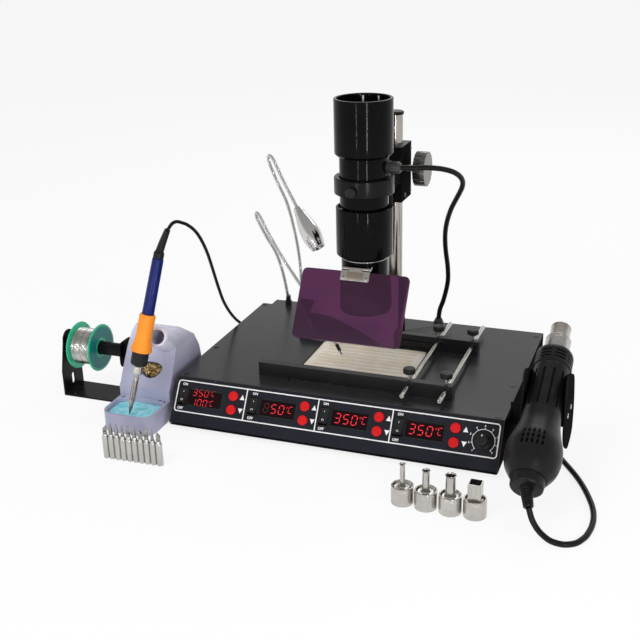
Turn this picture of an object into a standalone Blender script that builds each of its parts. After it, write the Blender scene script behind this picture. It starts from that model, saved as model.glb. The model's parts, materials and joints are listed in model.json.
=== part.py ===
"""Infrared rework station: main unit with front panel and preheat plate, lamp on a rack column,
board holder, hot-air gun with nozzles, soldering iron on its stand, solder reel and spare tips.
Metres, +Z up. X runs along the front, Y to the rear; the part's own origin is the bottom centre."""
import bpy
import bmesh
from math import cos, sin, pi, atan2, acos, tan, hypot
from mathutils import Matrix, Vector

# Clearances and working allowances
GAP = 0.0003
SLIDE_GAP = 0.0005
OVERRUN = 0.002
EDGE = 0.0006

# Main unit
UNIT_WIDTH = 0.388
UNIT_DEPTH = 0.2543
UNIT_HEIGHT = 0.0555
SHEET = 0.0012
PANEL_REACH = 0.0315
PANEL_BOTTOM = 0.0073
SKIRT_INSET = 0.010
PAN_THICKNESS = 0.0015
FOOT_RADIUS = 0.008
FOOT_HEIGHT = 0.003
FOOT_INSET = 0.028
SHELF_WIDTH = 0.086
SHELF_DEPTH = 0.018
SHELF_LEFT = 0.013
GLAND_RADIUS = 0.0065
GLAND_LENGTH = 0.010
INLET_WIDTH = 0.027
INLET_HEIGHT = 0.020
INLET_X = -0.060
FAN_GRILLE_SLOTS = 9
GRILLE_WIDTH = 0.060
GRILLE_HEIGHT = 0.024
GRILLE_X = 0.020

# Front panel; shares are of the unit's width and of the panel's height
PANEL_THICKNESS = 0.002
SWITCH_WIDTH = 0.0108
SWITCH_HEIGHT = 0.0205
SWITCH_DEPTH = 0.011
SWITCH_PROUD = 0.0022
SWITCH_TILT = 0.20
DISPLAY_WIDTH = 0.0445
DISPLAY_HEIGHT = 0.0204
BUTTON_RADIUS = 0.0058
BUTTON_PROUD = 0.0026
BUTTON_LENGTH = 0.0075
BUTTON_TRAVEL = 0.001
BUTTON_DOME = 0.0012
KNOB_SKIRT_RADIUS = 0.0095
KNOB_SKIRT_HEIGHT = 0.003
KNOB_CAP_RADIUS = 0.0062
KNOB_HEIGHT = 0.0145
KNOB_SPINDLE_RADIUS = 0.003
KNOB_SWEEP = 2.4
BOARD_THICKNESS = 0.0016
CONTROL_ROW_SHARE = 0.59
BUTTON_ROW_SHARES = (0.728, 0.452)
SWITCH_SHARES = (-0.4714, -0.2402, -0.0170, 0.2064)
DISPLAY_SHARES = (-0.3980, -0.1614, 0.0613, 0.2825)
BUTTON_SHARES = (-0.3067, -0.0784, 0.1472, 0.3686)
KNOB_SHARE = 0.4495

# Preheat plate
HEATER_SIDE = 0.133
HEATER_X = 0.002
HEATER_Y = 0.0885
HEATER_CORNER = 0.007
HEATER_THICKNESS = 0.013
HEATER_GAP = 0.0008
HEATER_SINK = 0.0004
HEATER_RIBS = 14
HEATER_RIB_HEIGHT = 0.0016
POST_SIDE = 0.010

# Board holder
BAR_LENGTH = 0.2325
BAR_HEIGHT = 0.0158
BAR_DEPTH = 0.012
BAR_LEFT = -0.1030
FRONT_BAR_Y = 0.030
REAR_BAR_Y = 0.160
BAR_STEP = 0.003
ROD_RADIUS = 0.0028
ROD_HEIGHT = 0.0095
ROD_FRONT = 0.0035
ROD_REAR = 0.2290
LEFT_ROD_X = 0.079
RIGHT_ROD_X = 0.1215
STUD_RADIUS = 0.0018
SCREW_HEAD_RADIUS = 0.0070
SCREW_HEAD_HEIGHT = 0.0065
SCREW_HEAD_LIFT = 0.0080
FRONT_JAW_RANGE = (-0.020, 0.055)
REAR_JAW_RANGE = (-0.038, 0.018)

# Column, carriage and lamp
LAMP_X = 0.0095
LAMP_Y = 0.0908
COLUMN_Y = 0.210
COLUMN_RADIUS = 0.010
COLUMN_TOP = 0.3385
COLUMN_CAP = 0.004
BASE_COLLAR_RADIUS = 0.014
BASE_COLLAR_HEIGHT = 0.018
RACK_WIDTH = 0.007
RACK_BOTTOM = 0.205
TOOTH_MODULE = 0.0012
PINION_TEETH = 12
RACK_FACE = 0.0032
TOOTH_BACKLASH = 0.00014
CARRIAGE_WIDTH = 0.034
CARRIAGE_DEPTH = 0.042
CARRIAGE_FRONT = 0.182
CARRIAGE_BOTTOM = 0.2335
CARRIAGE_HEIGHT = 0.0670
PINION_Z = 0.2745
ARM_HEIGHT = 0.028
ARM_BOTTOM = 0.259
CLAMP_BOLT_RADIUS = 0.0028
CLAMP_BOLT_DROP = 0.026
HEIGHT_KNOB_RADIUS = 0.0205
HEIGHT_KNOB_THICKNESS = 0.014
HEIGHT_KNOB_STANDOFF = 0.016
HEIGHT_KNOB_RIDGES = 20
HEIGHT_KNOB_RIDGE = 0.0009
SHAFT_RADIUS = 0.004
HEIGHT_RANGE = (-0.024, 0.026)
COLLAR_RADIUS = 0.0338
COLLAR_BOTTOM = 0.2685
COLLAR_HEIGHT = 0.0188
COLLAR_SCREW_RADIUS = 0.006
COLLAR_SCREW_HEAD = 0.0055
COLLAR_SCREW_TURN = 0.090
COLLAR_SCREW_DROP = 0.002
LAMP_TUBE_RADIUS = 0.0276
LAMP_TUBE_WALL = 0.0025
SHADE_RADIUS = 0.0328
SHADE_WALL = 0.0034
SHADE_BOTTOM = 0.3103
SHADE_HEIGHT = 0.0631
SHADE_CHAMFER = 0.003
BARREL_RADIUS = 0.0323
BARREL_WALL = 0.0028
BARREL_BOTTOM = 0.1961
BARREL_HEIGHT = 0.0565
NOSE_RADIUS = 0.0268
NOSE_BOTTOM = 0.1300
NOSE_WALL = 0.0022
BULB_RADIUS = 0.019
BULB_LENGTH = 0.075
BULB_NECK_RADIUS = 0.009
LAMP_GLAND_LENGTH = 0.0158
LAMP_GLAND_RADIUS = 0.0068
LAMP_GLAND_Z = 0.2982

# Filter
GLASS_WIDTH = 0.1265
GLASS_HEIGHT = 0.0817
GLASS_THICKNESS = 0.003
GLASS_CORNER = 0.006
GLASS_TILT = 0.566
GLASS_RANGE = (-0.50, 0.95)
HINGE_Y = 0.0605
HINGE_Z = 0.1872
HINGE_WIDTH = 0.034
HINGE_LEAF = 0.0145
HINGE_LEAF_THICKNESS = 0.0012
HINGE_BARREL_RADIUS = 0.0021

# Goosenecks
GOOSENECK_RADIUS = 0.0024
NECK_NUT_RADIUS = 0.0045
NECK_NUT_HEIGHT = 0.009
LED_HEAD_LENGTH = 0.061
LED_HEAD_SHARES = ((0.0, 0.10), (0.03, 0.115), (0.16, 0.145), (0.32, 0.20), (0.50, 0.245),
                   (0.68, 0.262), (0.82, 0.245), (0.94, 0.205), (1.0, 0.19))
LED_MOUTH_DEPTH = 0.006
LED_MOUTH_WALL = 0.0014
PROBE_RADIUS = 0.0011
PROBE_SLEEVE_RADIUS = 0.0021

# Iron stand
STAND_LEFT = -0.270
STAND_WIDTH = 0.067
TRAY_FRONT = -0.060
TRAY_HEIGHT = 0.024
TRAY_WALL = 0.0026
TRAY_FLOOR = 0.009
TRAY_CORNER = 0.015
SPONGE_RISE = 0.0104
HOOD_FRONT = -0.010
HOOD_REAR = 0.077
HOOD_HEIGHT = 0.103
HOOD_SHOULDER = 0.012
HOOD_SHOULDER_START = 0.030
HOOD_PROFILE_SHARES = ((0.0, 0.0), (0.0, 0.36), (0.035, 0.385), (0.425, 0.965), (0.475, 0.995),
                       (0.53, 0.99), (0.86, 0.80), (0.97, 0.62), (1.0, 0.50), (1.0, 0.0))
WOOL_WIDTH = 0.031
WOOL_HEIGHT = 0.020
WOOL_DEPTH = 0.024
WOOL_X = -0.2330
WOOL_Z = 0.0560
FUNNEL_MOUTH = (-0.2106, -0.0134, 0.1076)
FUNNEL_DIRECTION = (0.16, -0.87, 0.46)
FUNNEL_LENGTH = 0.040
FUNNEL_MOUTH_RADIUS = 0.0117
FUNNEL_BASE_RADIUS = 0.0145
FUNNEL_BORE_RADIUS = 0.0088
FUNNEL_BORE_DEPTH = 0.034

# Iron: lengths along its axis from the tip's point
IRON_TIP = (-0.2362, -0.0478, 0.0202)
IRON_DIRECTION = (0.1650, 0.2280, 0.9596)
TIP_LENGTH = 0.014
TIP_RADIUS = 0.0024
IRON_BARREL_RADIUS = 0.0032
IRON_NUT_START = 0.050
IRON_NUT_RADIUS = 0.0058
IRON_RIB_START = 0.061
IRON_RIB_RADIUS = 0.0098
GRIP_START = 0.0775
GRIP_FLANGE_RADIUS = 0.0122
GRIP_RADIUS = 0.0094
GRIP_END = 0.1225
HANDLE_END = 0.1875
HANDLE_RADIUS = 0.0066
BOOT_COLLAR_END = 0.1960
BOOT_RADIUS = 0.0058
BOOT_MIDDLE = (-0.1990, -0.0026, 0.2195)
IRON_CABLE_RADIUS = 0.0020
IRON_LIFT = 0.060
IRON_LIFT_DIRECTION = (-0.80, -0.50, 0.33)

# Solder reel
REEL_LEFT = -0.3655
REEL_Y = 0.031
REEL_Z = 0.063
BRACKET_SHEET = 0.002
BRACKET_DEPTH = 0.042
UPRIGHT_HEIGHT = 0.082
UPRIGHT_TOP_DEPTH = 0.024
UPRIGHT_SLOT_WIDTH = 0.006
UPRIGHT_SLOT_LENGTH = 0.014
UPRIGHT_SLOT_Z = 0.016
SPINDLE_RADIUS = 0.0083
SPOOL_BORE_GAP = 0.0006
SPOOL_LEFT = -0.3495
SPOOL_LENGTH = 0.032
FLANGE_RADIUS = 0.0295
FLANGE_THICKNESS = 0.0018
HUB_RADIUS = 0.0110
WINDING_RADIUS = 0.0228
LUG_RADIUS = 0.015
LUG_X = -0.2830

# Spare tips
TIP_COUNT = 10
TIP_ROW_START = (-0.2279, -0.1140)
TIP_PITCH = 0.0073
TIP_ROW_SLOPE = 0.0335
TIP_SLEEVE_RADIUS = 0.0037
TIP_SLEEVE_HEIGHT = 0.0265
TIP_NECK_HEIGHT = 0.0300
TIP_POINT_HEIGHT = 0.0430
TIP_POINT_SHARES = (0.30, 0.06, 0.08, 0.06, 0.20, 0.12, 0.06, 0.20, 0.06, 0.30)

# Nozzles
NOZZLE_CENTRES = ((0.1110, -0.1028), (0.1360, -0.1047), (0.1613, -0.1055), (0.1862, -0.1051))
NOZZLE_RADIUS = 0.01175
NOZZLE_COLLAR_HEIGHT = 0.0199
NOZZLE_WALL = 0.0012
NOZZLE_RECESS = 0.0025
NOZZLE_HEIGHTS = (0.0440, 0.0420, 0.0415, 0.0375)
NOZZLE_TUBE_RADII = (0.0027, 0.0037, 0.0051)
NOZZLE_FLARE = 0.0007
NOZZLE_SQUARE = 0.0135

# Hot-air gun: lengths along its axis from the rear cap's face
GUN_CAP = (0.2350, -0.1044, 0.0385)
GUN_RISE = 0.4323
GUN_PROFILE = ((0.0, 0.0150), (0.0015, 0.0165), (0.010, 0.0172), (0.0115, 0.0188), (0.022, 0.0252),
               (0.032, 0.0280), (0.041, 0.0285), (0.051, 0.0275), (0.064, 0.0240), (0.078, 0.0208),
               (0.092, 0.0196), (0.152, 0.0193), (0.155, 0.0202), (0.173, 0.0198), (0.1765, 0.0180))
GUN_BODY_END = 0.1765
GUN_WALL = 0.0030
GUN_GROOVES = 12
GUN_GROOVE_START = 0.094
GUN_GROOVE_END = 0.143
GUN_GROOVE_WIDTH = 0.0026
GUN_GROOVE_DEPTH = 0.0010
GUN_VENT_ROWS = 4
GUN_VENT_COLUMNS = 5
GUN_VENT_LENGTH = 0.0052
GUN_VENT_WIDTH = 0.0022
GUN_VENT_PITCH = 0.0068
GUN_VENT_CENTRE = 0.048
GUN_VENT_DEPTH = 0.0016
GUN_BARREL_BASE = 0.0136
GUN_BARREL_RADIUS = 0.0108
GUN_BARREL_STEP = 0.1985
GUN_BARREL_END = 0.2170
GUN_BARREL_WALL = 0.0010
GUN_BOOT_RADIUS = 0.0062
GUN_CABLE_RADIUS = 0.0030
GUN_LIFT = 0.055

# Gun holder: the ears' outline as (y, z) pairs, and the plate that ties them to the unit
HOLDER_SHEET = 0.002
HOLDER_HALF = 0.022
HOLDER_EAR = ((-0.020, 0.060), (-0.012, 0.118), (0.000, 0.119), (0.045, 0.098), (0.058, 0.060),
              (0.057, 0.025), (0.020, 0.020), (-0.010, 0.040))
HOLDER_EAR_CORNER = 0.012
HOLDER_REST_START = 0.098
HOLDER_REST_END = 0.150
SPACER_Y = 0.028
SPACER_LOW = 0.038
SPACER_HIGH = 0.064
SPACER_FOOT = 0.018

# Cables: points along each route, chosen by hand
LAMP_CABLE_RADIUS = 0.0030
LAMP_CABLE_ROUTE = (
    (0.0532, 0.0908, 0.2982), (0.0628, 0.0914, 0.2985), (0.0722, 0.0955, 0.2986), (0.0824, 0.1000, 0.2980),
    (0.0921, 0.1060, 0.2962), (0.1012, 0.1130, 0.2930), (0.1080, 0.1210, 0.2875), (0.1112, 0.1305, 0.2800),
    (0.1100, 0.1400, 0.2705), (0.1050, 0.1500, 0.2601), (0.0982, 0.1605, 0.2482), (0.0912, 0.1710, 0.2359),
    (0.0850, 0.1820, 0.2225), (0.0797, 0.1930, 0.2082), (0.0757, 0.2040, 0.1925), (0.0738, 0.2130, 0.1772),
    (0.0733, 0.2200, 0.1630), (0.0737, 0.2260, 0.1491), (0.0737, 0.2310, 0.1356), (0.0727, 0.2360, 0.1217),
    (0.0701, 0.2395, 0.1079), (0.0668, 0.2420, 0.0952), (0.0632, 0.2435, 0.0830), (0.0598, 0.2440, 0.0735),
    (0.0595, 0.2440, 0.0658))
IRON_CABLE_ROUTE = (
    (-0.1903, -0.0046, 0.2355), (-0.1883, -0.0047, 0.2394), (-0.1848, 0.0005, 0.2430), (-0.1820, 0.0045, 0.2430),
    (-0.1796, 0.0090, 0.2411), (-0.1773, 0.0150, 0.2378), (-0.1756, 0.0210, 0.2335), (-0.1743, 0.0280, 0.2276),
    (-0.1742, 0.0360, 0.2200), (-0.1749, 0.0450, 0.2106), (-0.1766, 0.0550, 0.2000), (-0.1790, 0.0660, 0.1878),
    (-0.1822, 0.0780, 0.1737), (-0.1858, 0.0910, 0.1577), (-0.1896, 0.1050, 0.1397), (-0.1929, 0.1190, 0.1209),
    (-0.1958, 0.1330, 0.1026), (-0.1974, 0.1470, 0.0862), (-0.1982, 0.1600, 0.0727), (-0.1986, 0.1730, 0.0610),
    (-0.1990, 0.1860, 0.0512), (-0.1995, 0.2000, 0.0424), (-0.2000, 0.2150, 0.0345), (-0.2003, 0.2300, 0.0284),
    (-0.2003, 0.2450, 0.0250), (-0.1998, 0.2600, 0.0240), (-0.1972, 0.2740, 0.0240), (-0.1905, 0.2850, 0.0240),
    (-0.1808, 0.2895, 0.0240), (-0.1716, 0.2855, 0.0240), (-0.1664, 0.2765, 0.0240), (-0.1650, 0.2646, 0.0240))
GUN_CABLE_ROUTE = (
    (0.2404, -0.1182, 0.0265), (0.2416, -0.1207, 0.0244), (0.2430, -0.1218, 0.0203), (0.2454, -0.1219, 0.0153),
    (0.2492, -0.1238, 0.0100), (0.2540, -0.1257, 0.0060), (0.2599, -0.1297, 0.0042), (0.2660, -0.1326, 0.0034),
    (0.2719, -0.1342, 0.0032), (0.2774, -0.1342, 0.0032), (0.2826, -0.1321, 0.0032), (0.2876, -0.1278, 0.0032),
    (0.2930, -0.1190, 0.0032), (0.2969, -0.1052, 0.0032), (0.2984, -0.0864, 0.0032), (0.2959, -0.0644, 0.0032),
    (0.2880, -0.0391, 0.0032), (0.2763, -0.0120, 0.0032), (0.2620, 0.0130, 0.0032), (0.2480, 0.0350, 0.0032),
    (0.2360, 0.0580, 0.0032), (0.2280, 0.0820, 0.0032),
    (0.2235, 0.1080, 0.0032), (0.2220, 0.1340, 0.0032), (0.2220, 0.1600, 0.0032), (0.2220, 0.1860, 0.0032),
    (0.2220, 0.2120, 0.0032), (0.2215, 0.2360, 0.0032), (0.2190, 0.2580, 0.0032), (0.2130, 0.2770, 0.0032),
    (0.2030, 0.2910, 0.0034), (0.1890, 0.2995, 0.0042), (0.1740, 0.3000, 0.0070), (0.1610, 0.2945, 0.0125),
    (0.1530, 0.2850, 0.0190), (0.1501, 0.2750, 0.0236), (0.1500, 0.2646, 0.0240))
LED_NECK_ROUTE = (
    (-0.1368, 0.2600, 0.0645), (-0.1368, 0.2590, 0.0790), (-0.1371, 0.2570, 0.1013), (-0.1372, 0.2550, 0.1206),
    (-0.1380, 0.2525, 0.1385), (-0.1395, 0.2500, 0.1555), (-0.1420, 0.2472, 0.1745), (-0.1452, 0.2448, 0.1928),
    (-0.1495, 0.2430, 0.2093), (-0.1560, 0.2410, 0.2256), (-0.1635, 0.2393, 0.2440), (-0.1680, 0.2368, 0.2590),
    (-0.1668, 0.2322, 0.2690), (-0.1598, 0.2270, 0.2692), (-0.1525, 0.2222, 0.2600), (-0.1445, 0.2180, 0.2477),
    (-0.1335, 0.2130, 0.2313), (-0.1245, 0.2085, 0.2190), (-0.1190, 0.2053, 0.2118))
SENSOR_NECK_ROUTE = (
    (-0.1583, 0.2600, 0.0645), (-0.1583, 0.2560, 0.0760), (-0.1603, 0.2520, 0.0978), (-0.1641, 0.2490, 0.1186),
    (-0.1690, 0.2460, 0.1355), (-0.1778, 0.2430, 0.1530), (-0.1855, 0.2400, 0.1703), (-0.1900, 0.2370, 0.1835),
    (-0.1880, 0.2325, 0.1915), (-0.1805, 0.2270, 0.1890), (-0.1695, 0.2195, 0.1750), (-0.1540, 0.2105, 0.1572),
    (-0.1356, 0.1990, 0.1390), (-0.1173, 0.1865, 0.1245), (-0.1000, 0.1740, 0.1120), (-0.0810, 0.1575, 0.0990),
    (-0.0620, 0.1380, 0.0860), (-0.0450, 0.1210, 0.0760), (-0.0340, 0.1110, 0.0690))
PROBE_ROUTE = (
    (-0.0340, 0.1110, 0.0690), (-0.0290, 0.1070, 0.0640), (-0.0255, 0.1045, 0.0595))
CABLE_GLAND_Z = 0.024
LAMP_CABLE_END = (0.0595, 0.2440)


def clear_scene():
    for old in list(bpy.data.objects):
        bpy.data.objects.remove(old, do_unlink=True)


def material(name, colour, roughness, metallic=0.0, alpha=1.0):
    made = bpy.data.materials.new(name)
    made.use_nodes = True
    shader = made.node_tree.nodes["Principled BSDF"]
    shader.inputs["Base Color"].default_value = (*colour, 1.0)
    shader.inputs["Roughness"].default_value = roughness
    shader.inputs["Metallic"].default_value = metallic
    shader.inputs["Alpha"].default_value = alpha
    return made


def empty(name, parent=None, location=(0, 0, 0), turn=None, travel=None):
    """An unseen frame that carries pieces; a joint's empty lies on the joint's axis and holds its travel."""
    made = bpy.data.objects.new(name, None)
    bpy.context.scene.collection.objects.link(made)
    made.parent = parent
    made.matrix_local = Matrix.Translation(location) @ (turn.to_4x4() if turn else Matrix())
    if travel:
        made["travel"] = travel
    return made


def axis_turn(direction, roll_axis=(0, 0, 1)):
    """A rotation whose Z points along direction and whose X lies square to roll_axis."""
    z = Vector(direction).normalized()
    x = Vector(roll_axis).cross(z)
    x = x.normalized() if x.length > 0.01 else Vector((1, 0, 0))
    y = z.cross(x)
    return Matrix((x, y, z)).transposed()


def place(bm, name, parent, coat=None, helper=False):
    """Turns a bmesh into a named object in its parent's frame."""
    bmesh.ops.recalc_face_normals(bm, faces=bm.faces)
    mesh = bpy.data.meshes.new(name)
    bm.to_mesh(mesh)
    bm.free()
    made = bpy.data.objects.new(name, mesh)
    bpy.context.scene.collection.objects.link(made)
    made.parent = parent
    if coat:
        mesh.materials.append(coat)
    mesh.shade_smooth()
    mesh.set_sharp_from_angle(angle=pi / 6)
    if helper:
        made.hide_render = True
        made.display_type = "WIRE"
    return made


def boolean(target, other, operation):
    modifier = target.modifiers.new(operation.lower() + "_" + other.name, "BOOLEAN")
    modifier.operation = operation
    modifier.solver = "EXACT"
    modifier.object = other


def cut(target, name, bm):
    boolean(target, place(bm, "cut_" + name, target.parent, helper=True), "DIFFERENCE")


def fuse(target, name, bm):
    boolean(target, place(bm, "add_" + name, target.parent, helper=True), "UNION")


def box(low, high, bm=None):
    bm = bm or bmesh.new()
    corners = [bm.verts.new((x, y, z)) for x in (low[0], high[0]) for y in (low[1], high[1])
               for z in (low[2], high[2])]
    for face in ((0, 1, 3, 2), (4, 6, 7, 5), (0, 4, 5, 1), (2, 3, 7, 6), (0, 2, 6, 4), (1, 5, 7, 3)):
        bm.faces.new([corners[i] for i in face])
    return bm


def add_box(bm, low, high, matrix):
    """Adds a box that is turned by the matrix."""
    count = len(bm.verts)
    box(low, high, bm)
    bm.verts.ensure_lookup_table()
    bmesh.ops.transform(bm, matrix=matrix, verts=bm.verts[count:])


def eased(outline, radius):
    """The outline with each corner replaced by a short curve."""
    points = []
    for i, corner in enumerate(outline):
        here = Vector(corner)
        sides = [Vector(outline[i - 1]) - here, Vector(outline[(i + 1) % len(outline)]) - here]
        start, end = [here + side.normalized() * min(radius, 0.45 * side.length) for side in sides]
        for k in range(4):
            t = k / 3
            points.append(tuple(start * (1 - t) ** 2 + here * 2 * t * (1 - t) + end * t ** 2))
    return points


def prism(outline, low, high, axis="Z", bm=None):
    """Extrudes a closed outline along an axis. The outline's pair are the other two axes in order."""
    bm = bm or bmesh.new()
    order = {"X": lambda a, b, h: (h, a, b), "Y": lambda a, b, h: (a, h, b), "Z": lambda a, b, h: (a, b, h)}
    at = order[axis]
    ends = [[bm.verts.new(at(a, b, h)) for a, b in outline] for h in (low, high)]
    count = len(outline)
    for i in range(count):
        j = (i + 1) % count
        bm.faces.new((ends[0][i], ends[0][j], ends[1][j], ends[1][i]))
    bm.faces.new(ends[0][::-1])
    bm.faces.new(ends[1])
    return bm


def turned(profile, steps, turn=None, centre=(0, 0, 0), closed=False, bm=None):
    """Revolves (radius, height) points about Z, then turns and moves the result."""
    bm = bm or bmesh.new()
    turn = turn or Matrix.Identity(3)
    rings = []
    for radius, height in profile:
        count = steps if radius > 0 else 1
        ring = []
        for i in range(count):
            angle = 2 * pi * (i + 0.5) / steps
            point = Vector((radius * cos(angle), radius * sin(angle), height))
            ring.append(bm.verts.new(turn @ point + Vector(centre)))
        rings.append(ring)
    pairs = list(zip(rings, rings[1:])) + ([(rings[-1], rings[0])] if closed else [])
    for first, second in pairs:
        for i in range(steps):
            j = (i + 1) % steps
            corners = [first[i % len(first)], first[j % len(first)],
                       second[j % len(second)], second[i % len(second)]]
            unique = list(dict.fromkeys(corners))
            if len(unique) > 2:
                bm.faces.new(unique)
    return bm


def cylinder(radius, low, high, steps, turn=None, centre=(0, 0, 0), bm=None):
    return turned(((0, low), (radius, low), (radius, high), (0, high)), steps, turn, centre, bm=bm)


def rounded(low_a, low_b, high_a, high_b, radius, steps=4):
    """A rectangle's outline with round corners, anticlockwise."""
    points = []
    for a, b, start in ((high_a - radius, high_b - radius, 0), (low_a + radius, high_b - radius, 1),
                        (low_a + radius, low_b + radius, 2), (high_a - radius, low_b + radius, 3)):
        for i in range(steps + 1):
            angle = pi / 2 * (start + i / steps)
            points.append((a + radius * cos(angle), b + radius * sin(angle)))
    return points


def smooth_route(route, step, lead=0):
    """Points about one step apart on a Catmull-Rom curve through the route. A lead adds a short first
    and last stretch, so that each end leaves straight along the curve."""
    points = [Vector(p) for p in route]
    points = [2 * points[0] - points[1]] + points + [2 * points[-1] - points[-2]]
    fine = []
    for a, b, c, d in zip(points, points[1:], points[2:], points[3:]):
        for i in range(12):
            t = i / 12
            fine.append(0.5 * (2 * b + (c - a) * t + (2 * a - 5 * b + 4 * c - d) * t ** 2
                               + (3 * b - a - 3 * c + d) * t ** 3))
    fine.append(points[-2])
    lengths = [0]
    for a, b in zip(fine, fine[1:]):
        lengths.append(lengths[-1] + (b - a).length)
    count = max(2, round(lengths[-1] / step))
    stops = [lengths[-1] * k / count for k in range(count + 1)]
    if lead:
        stops = [stops[0], lead] + stops[1:-1] + [stops[-1] - lead, stops[-1]]
    result, i = [], 0
    for wanted in stops:
        while i < len(fine) - 2 and lengths[i + 1] < wanted:
            i += 1
        share = (wanted - lengths[i]) / (lengths[i + 1] - lengths[i])
        result.append(fine[i].lerp(fine[i + 1], share))
    return result


def cord(name, route, radius, parent, coat, resolution=2):
    """A cable as a bevelled curve with closed ends."""
    data = bpy.data.curves.new(name, "CURVE")
    data.dimensions = "3D"
    data.bevel_depth = radius
    data.bevel_resolution = resolution
    data.use_fill_caps = True
    points = smooth_route(route, 3 * 2 * radius, radius)
    spline = data.splines.new("POLY")
    spline.points.add(len(points) - 1)
    for spot, point in zip(spline.points, points):
        spot.co = (*point, 1)
    data.materials.append(coat)
    made = bpy.data.objects.new(name, data)
    bpy.context.scene.collection.objects.link(made)
    made.parent = parent
    return made


def sweep(route, radii, sides, bm=None):
    """A solid rod along points, with a radius for each."""
    bm = bm or bmesh.new()
    side = None
    rings = []
    for i, point in enumerate(route):
        along = (route[min(i + 1, len(route) - 1)] - route[max(i - 1, 0)]).normalized()
        side = (side or along.orthogonal()) - along * along.dot(side or along.orthogonal())
        side.normalize()
        other = along.cross(side)
        rings.append([bm.verts.new(point + radii[i] * (side * cos(2 * pi * k / sides)
                                                       + other * sin(2 * pi * k / sides)))
                      for k in range(sides)])
    for first, second in zip(rings, rings[1:]):
        for k in range(sides):
            j = (k + 1) % sides
            bm.faces.new((first[k], first[j], second[j], second[k]))
    bm.faces.new(rings[0][::-1])
    bm.faces.new(rings[-1])
    return bm


def soften(target, width, steps=1, angle=pi / 5):
    modifier = target.modifiers.new("soften", "BEVEL")
    modifier.width = width
    modifier.segments = steps
    modifier.limit_method = "ANGLE"
    modifier.angle_limit = angle
    return modifier


# Turns used for pieces whose own axis is not Z
ALONG_X = axis_turn((1, 0, 0))
ALONG_Y = axis_turn((0, 1, 0))
ALONG_FRONT = axis_turn((0, -1, 0))
PANEL_SLOPE = atan2(UNIT_HEIGHT - PANEL_BOTTOM, PANEL_REACH)
PANEL_LENGTH = hypot(UNIT_HEIGHT - PANEL_BOTTOM, PANEL_REACH)


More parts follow.
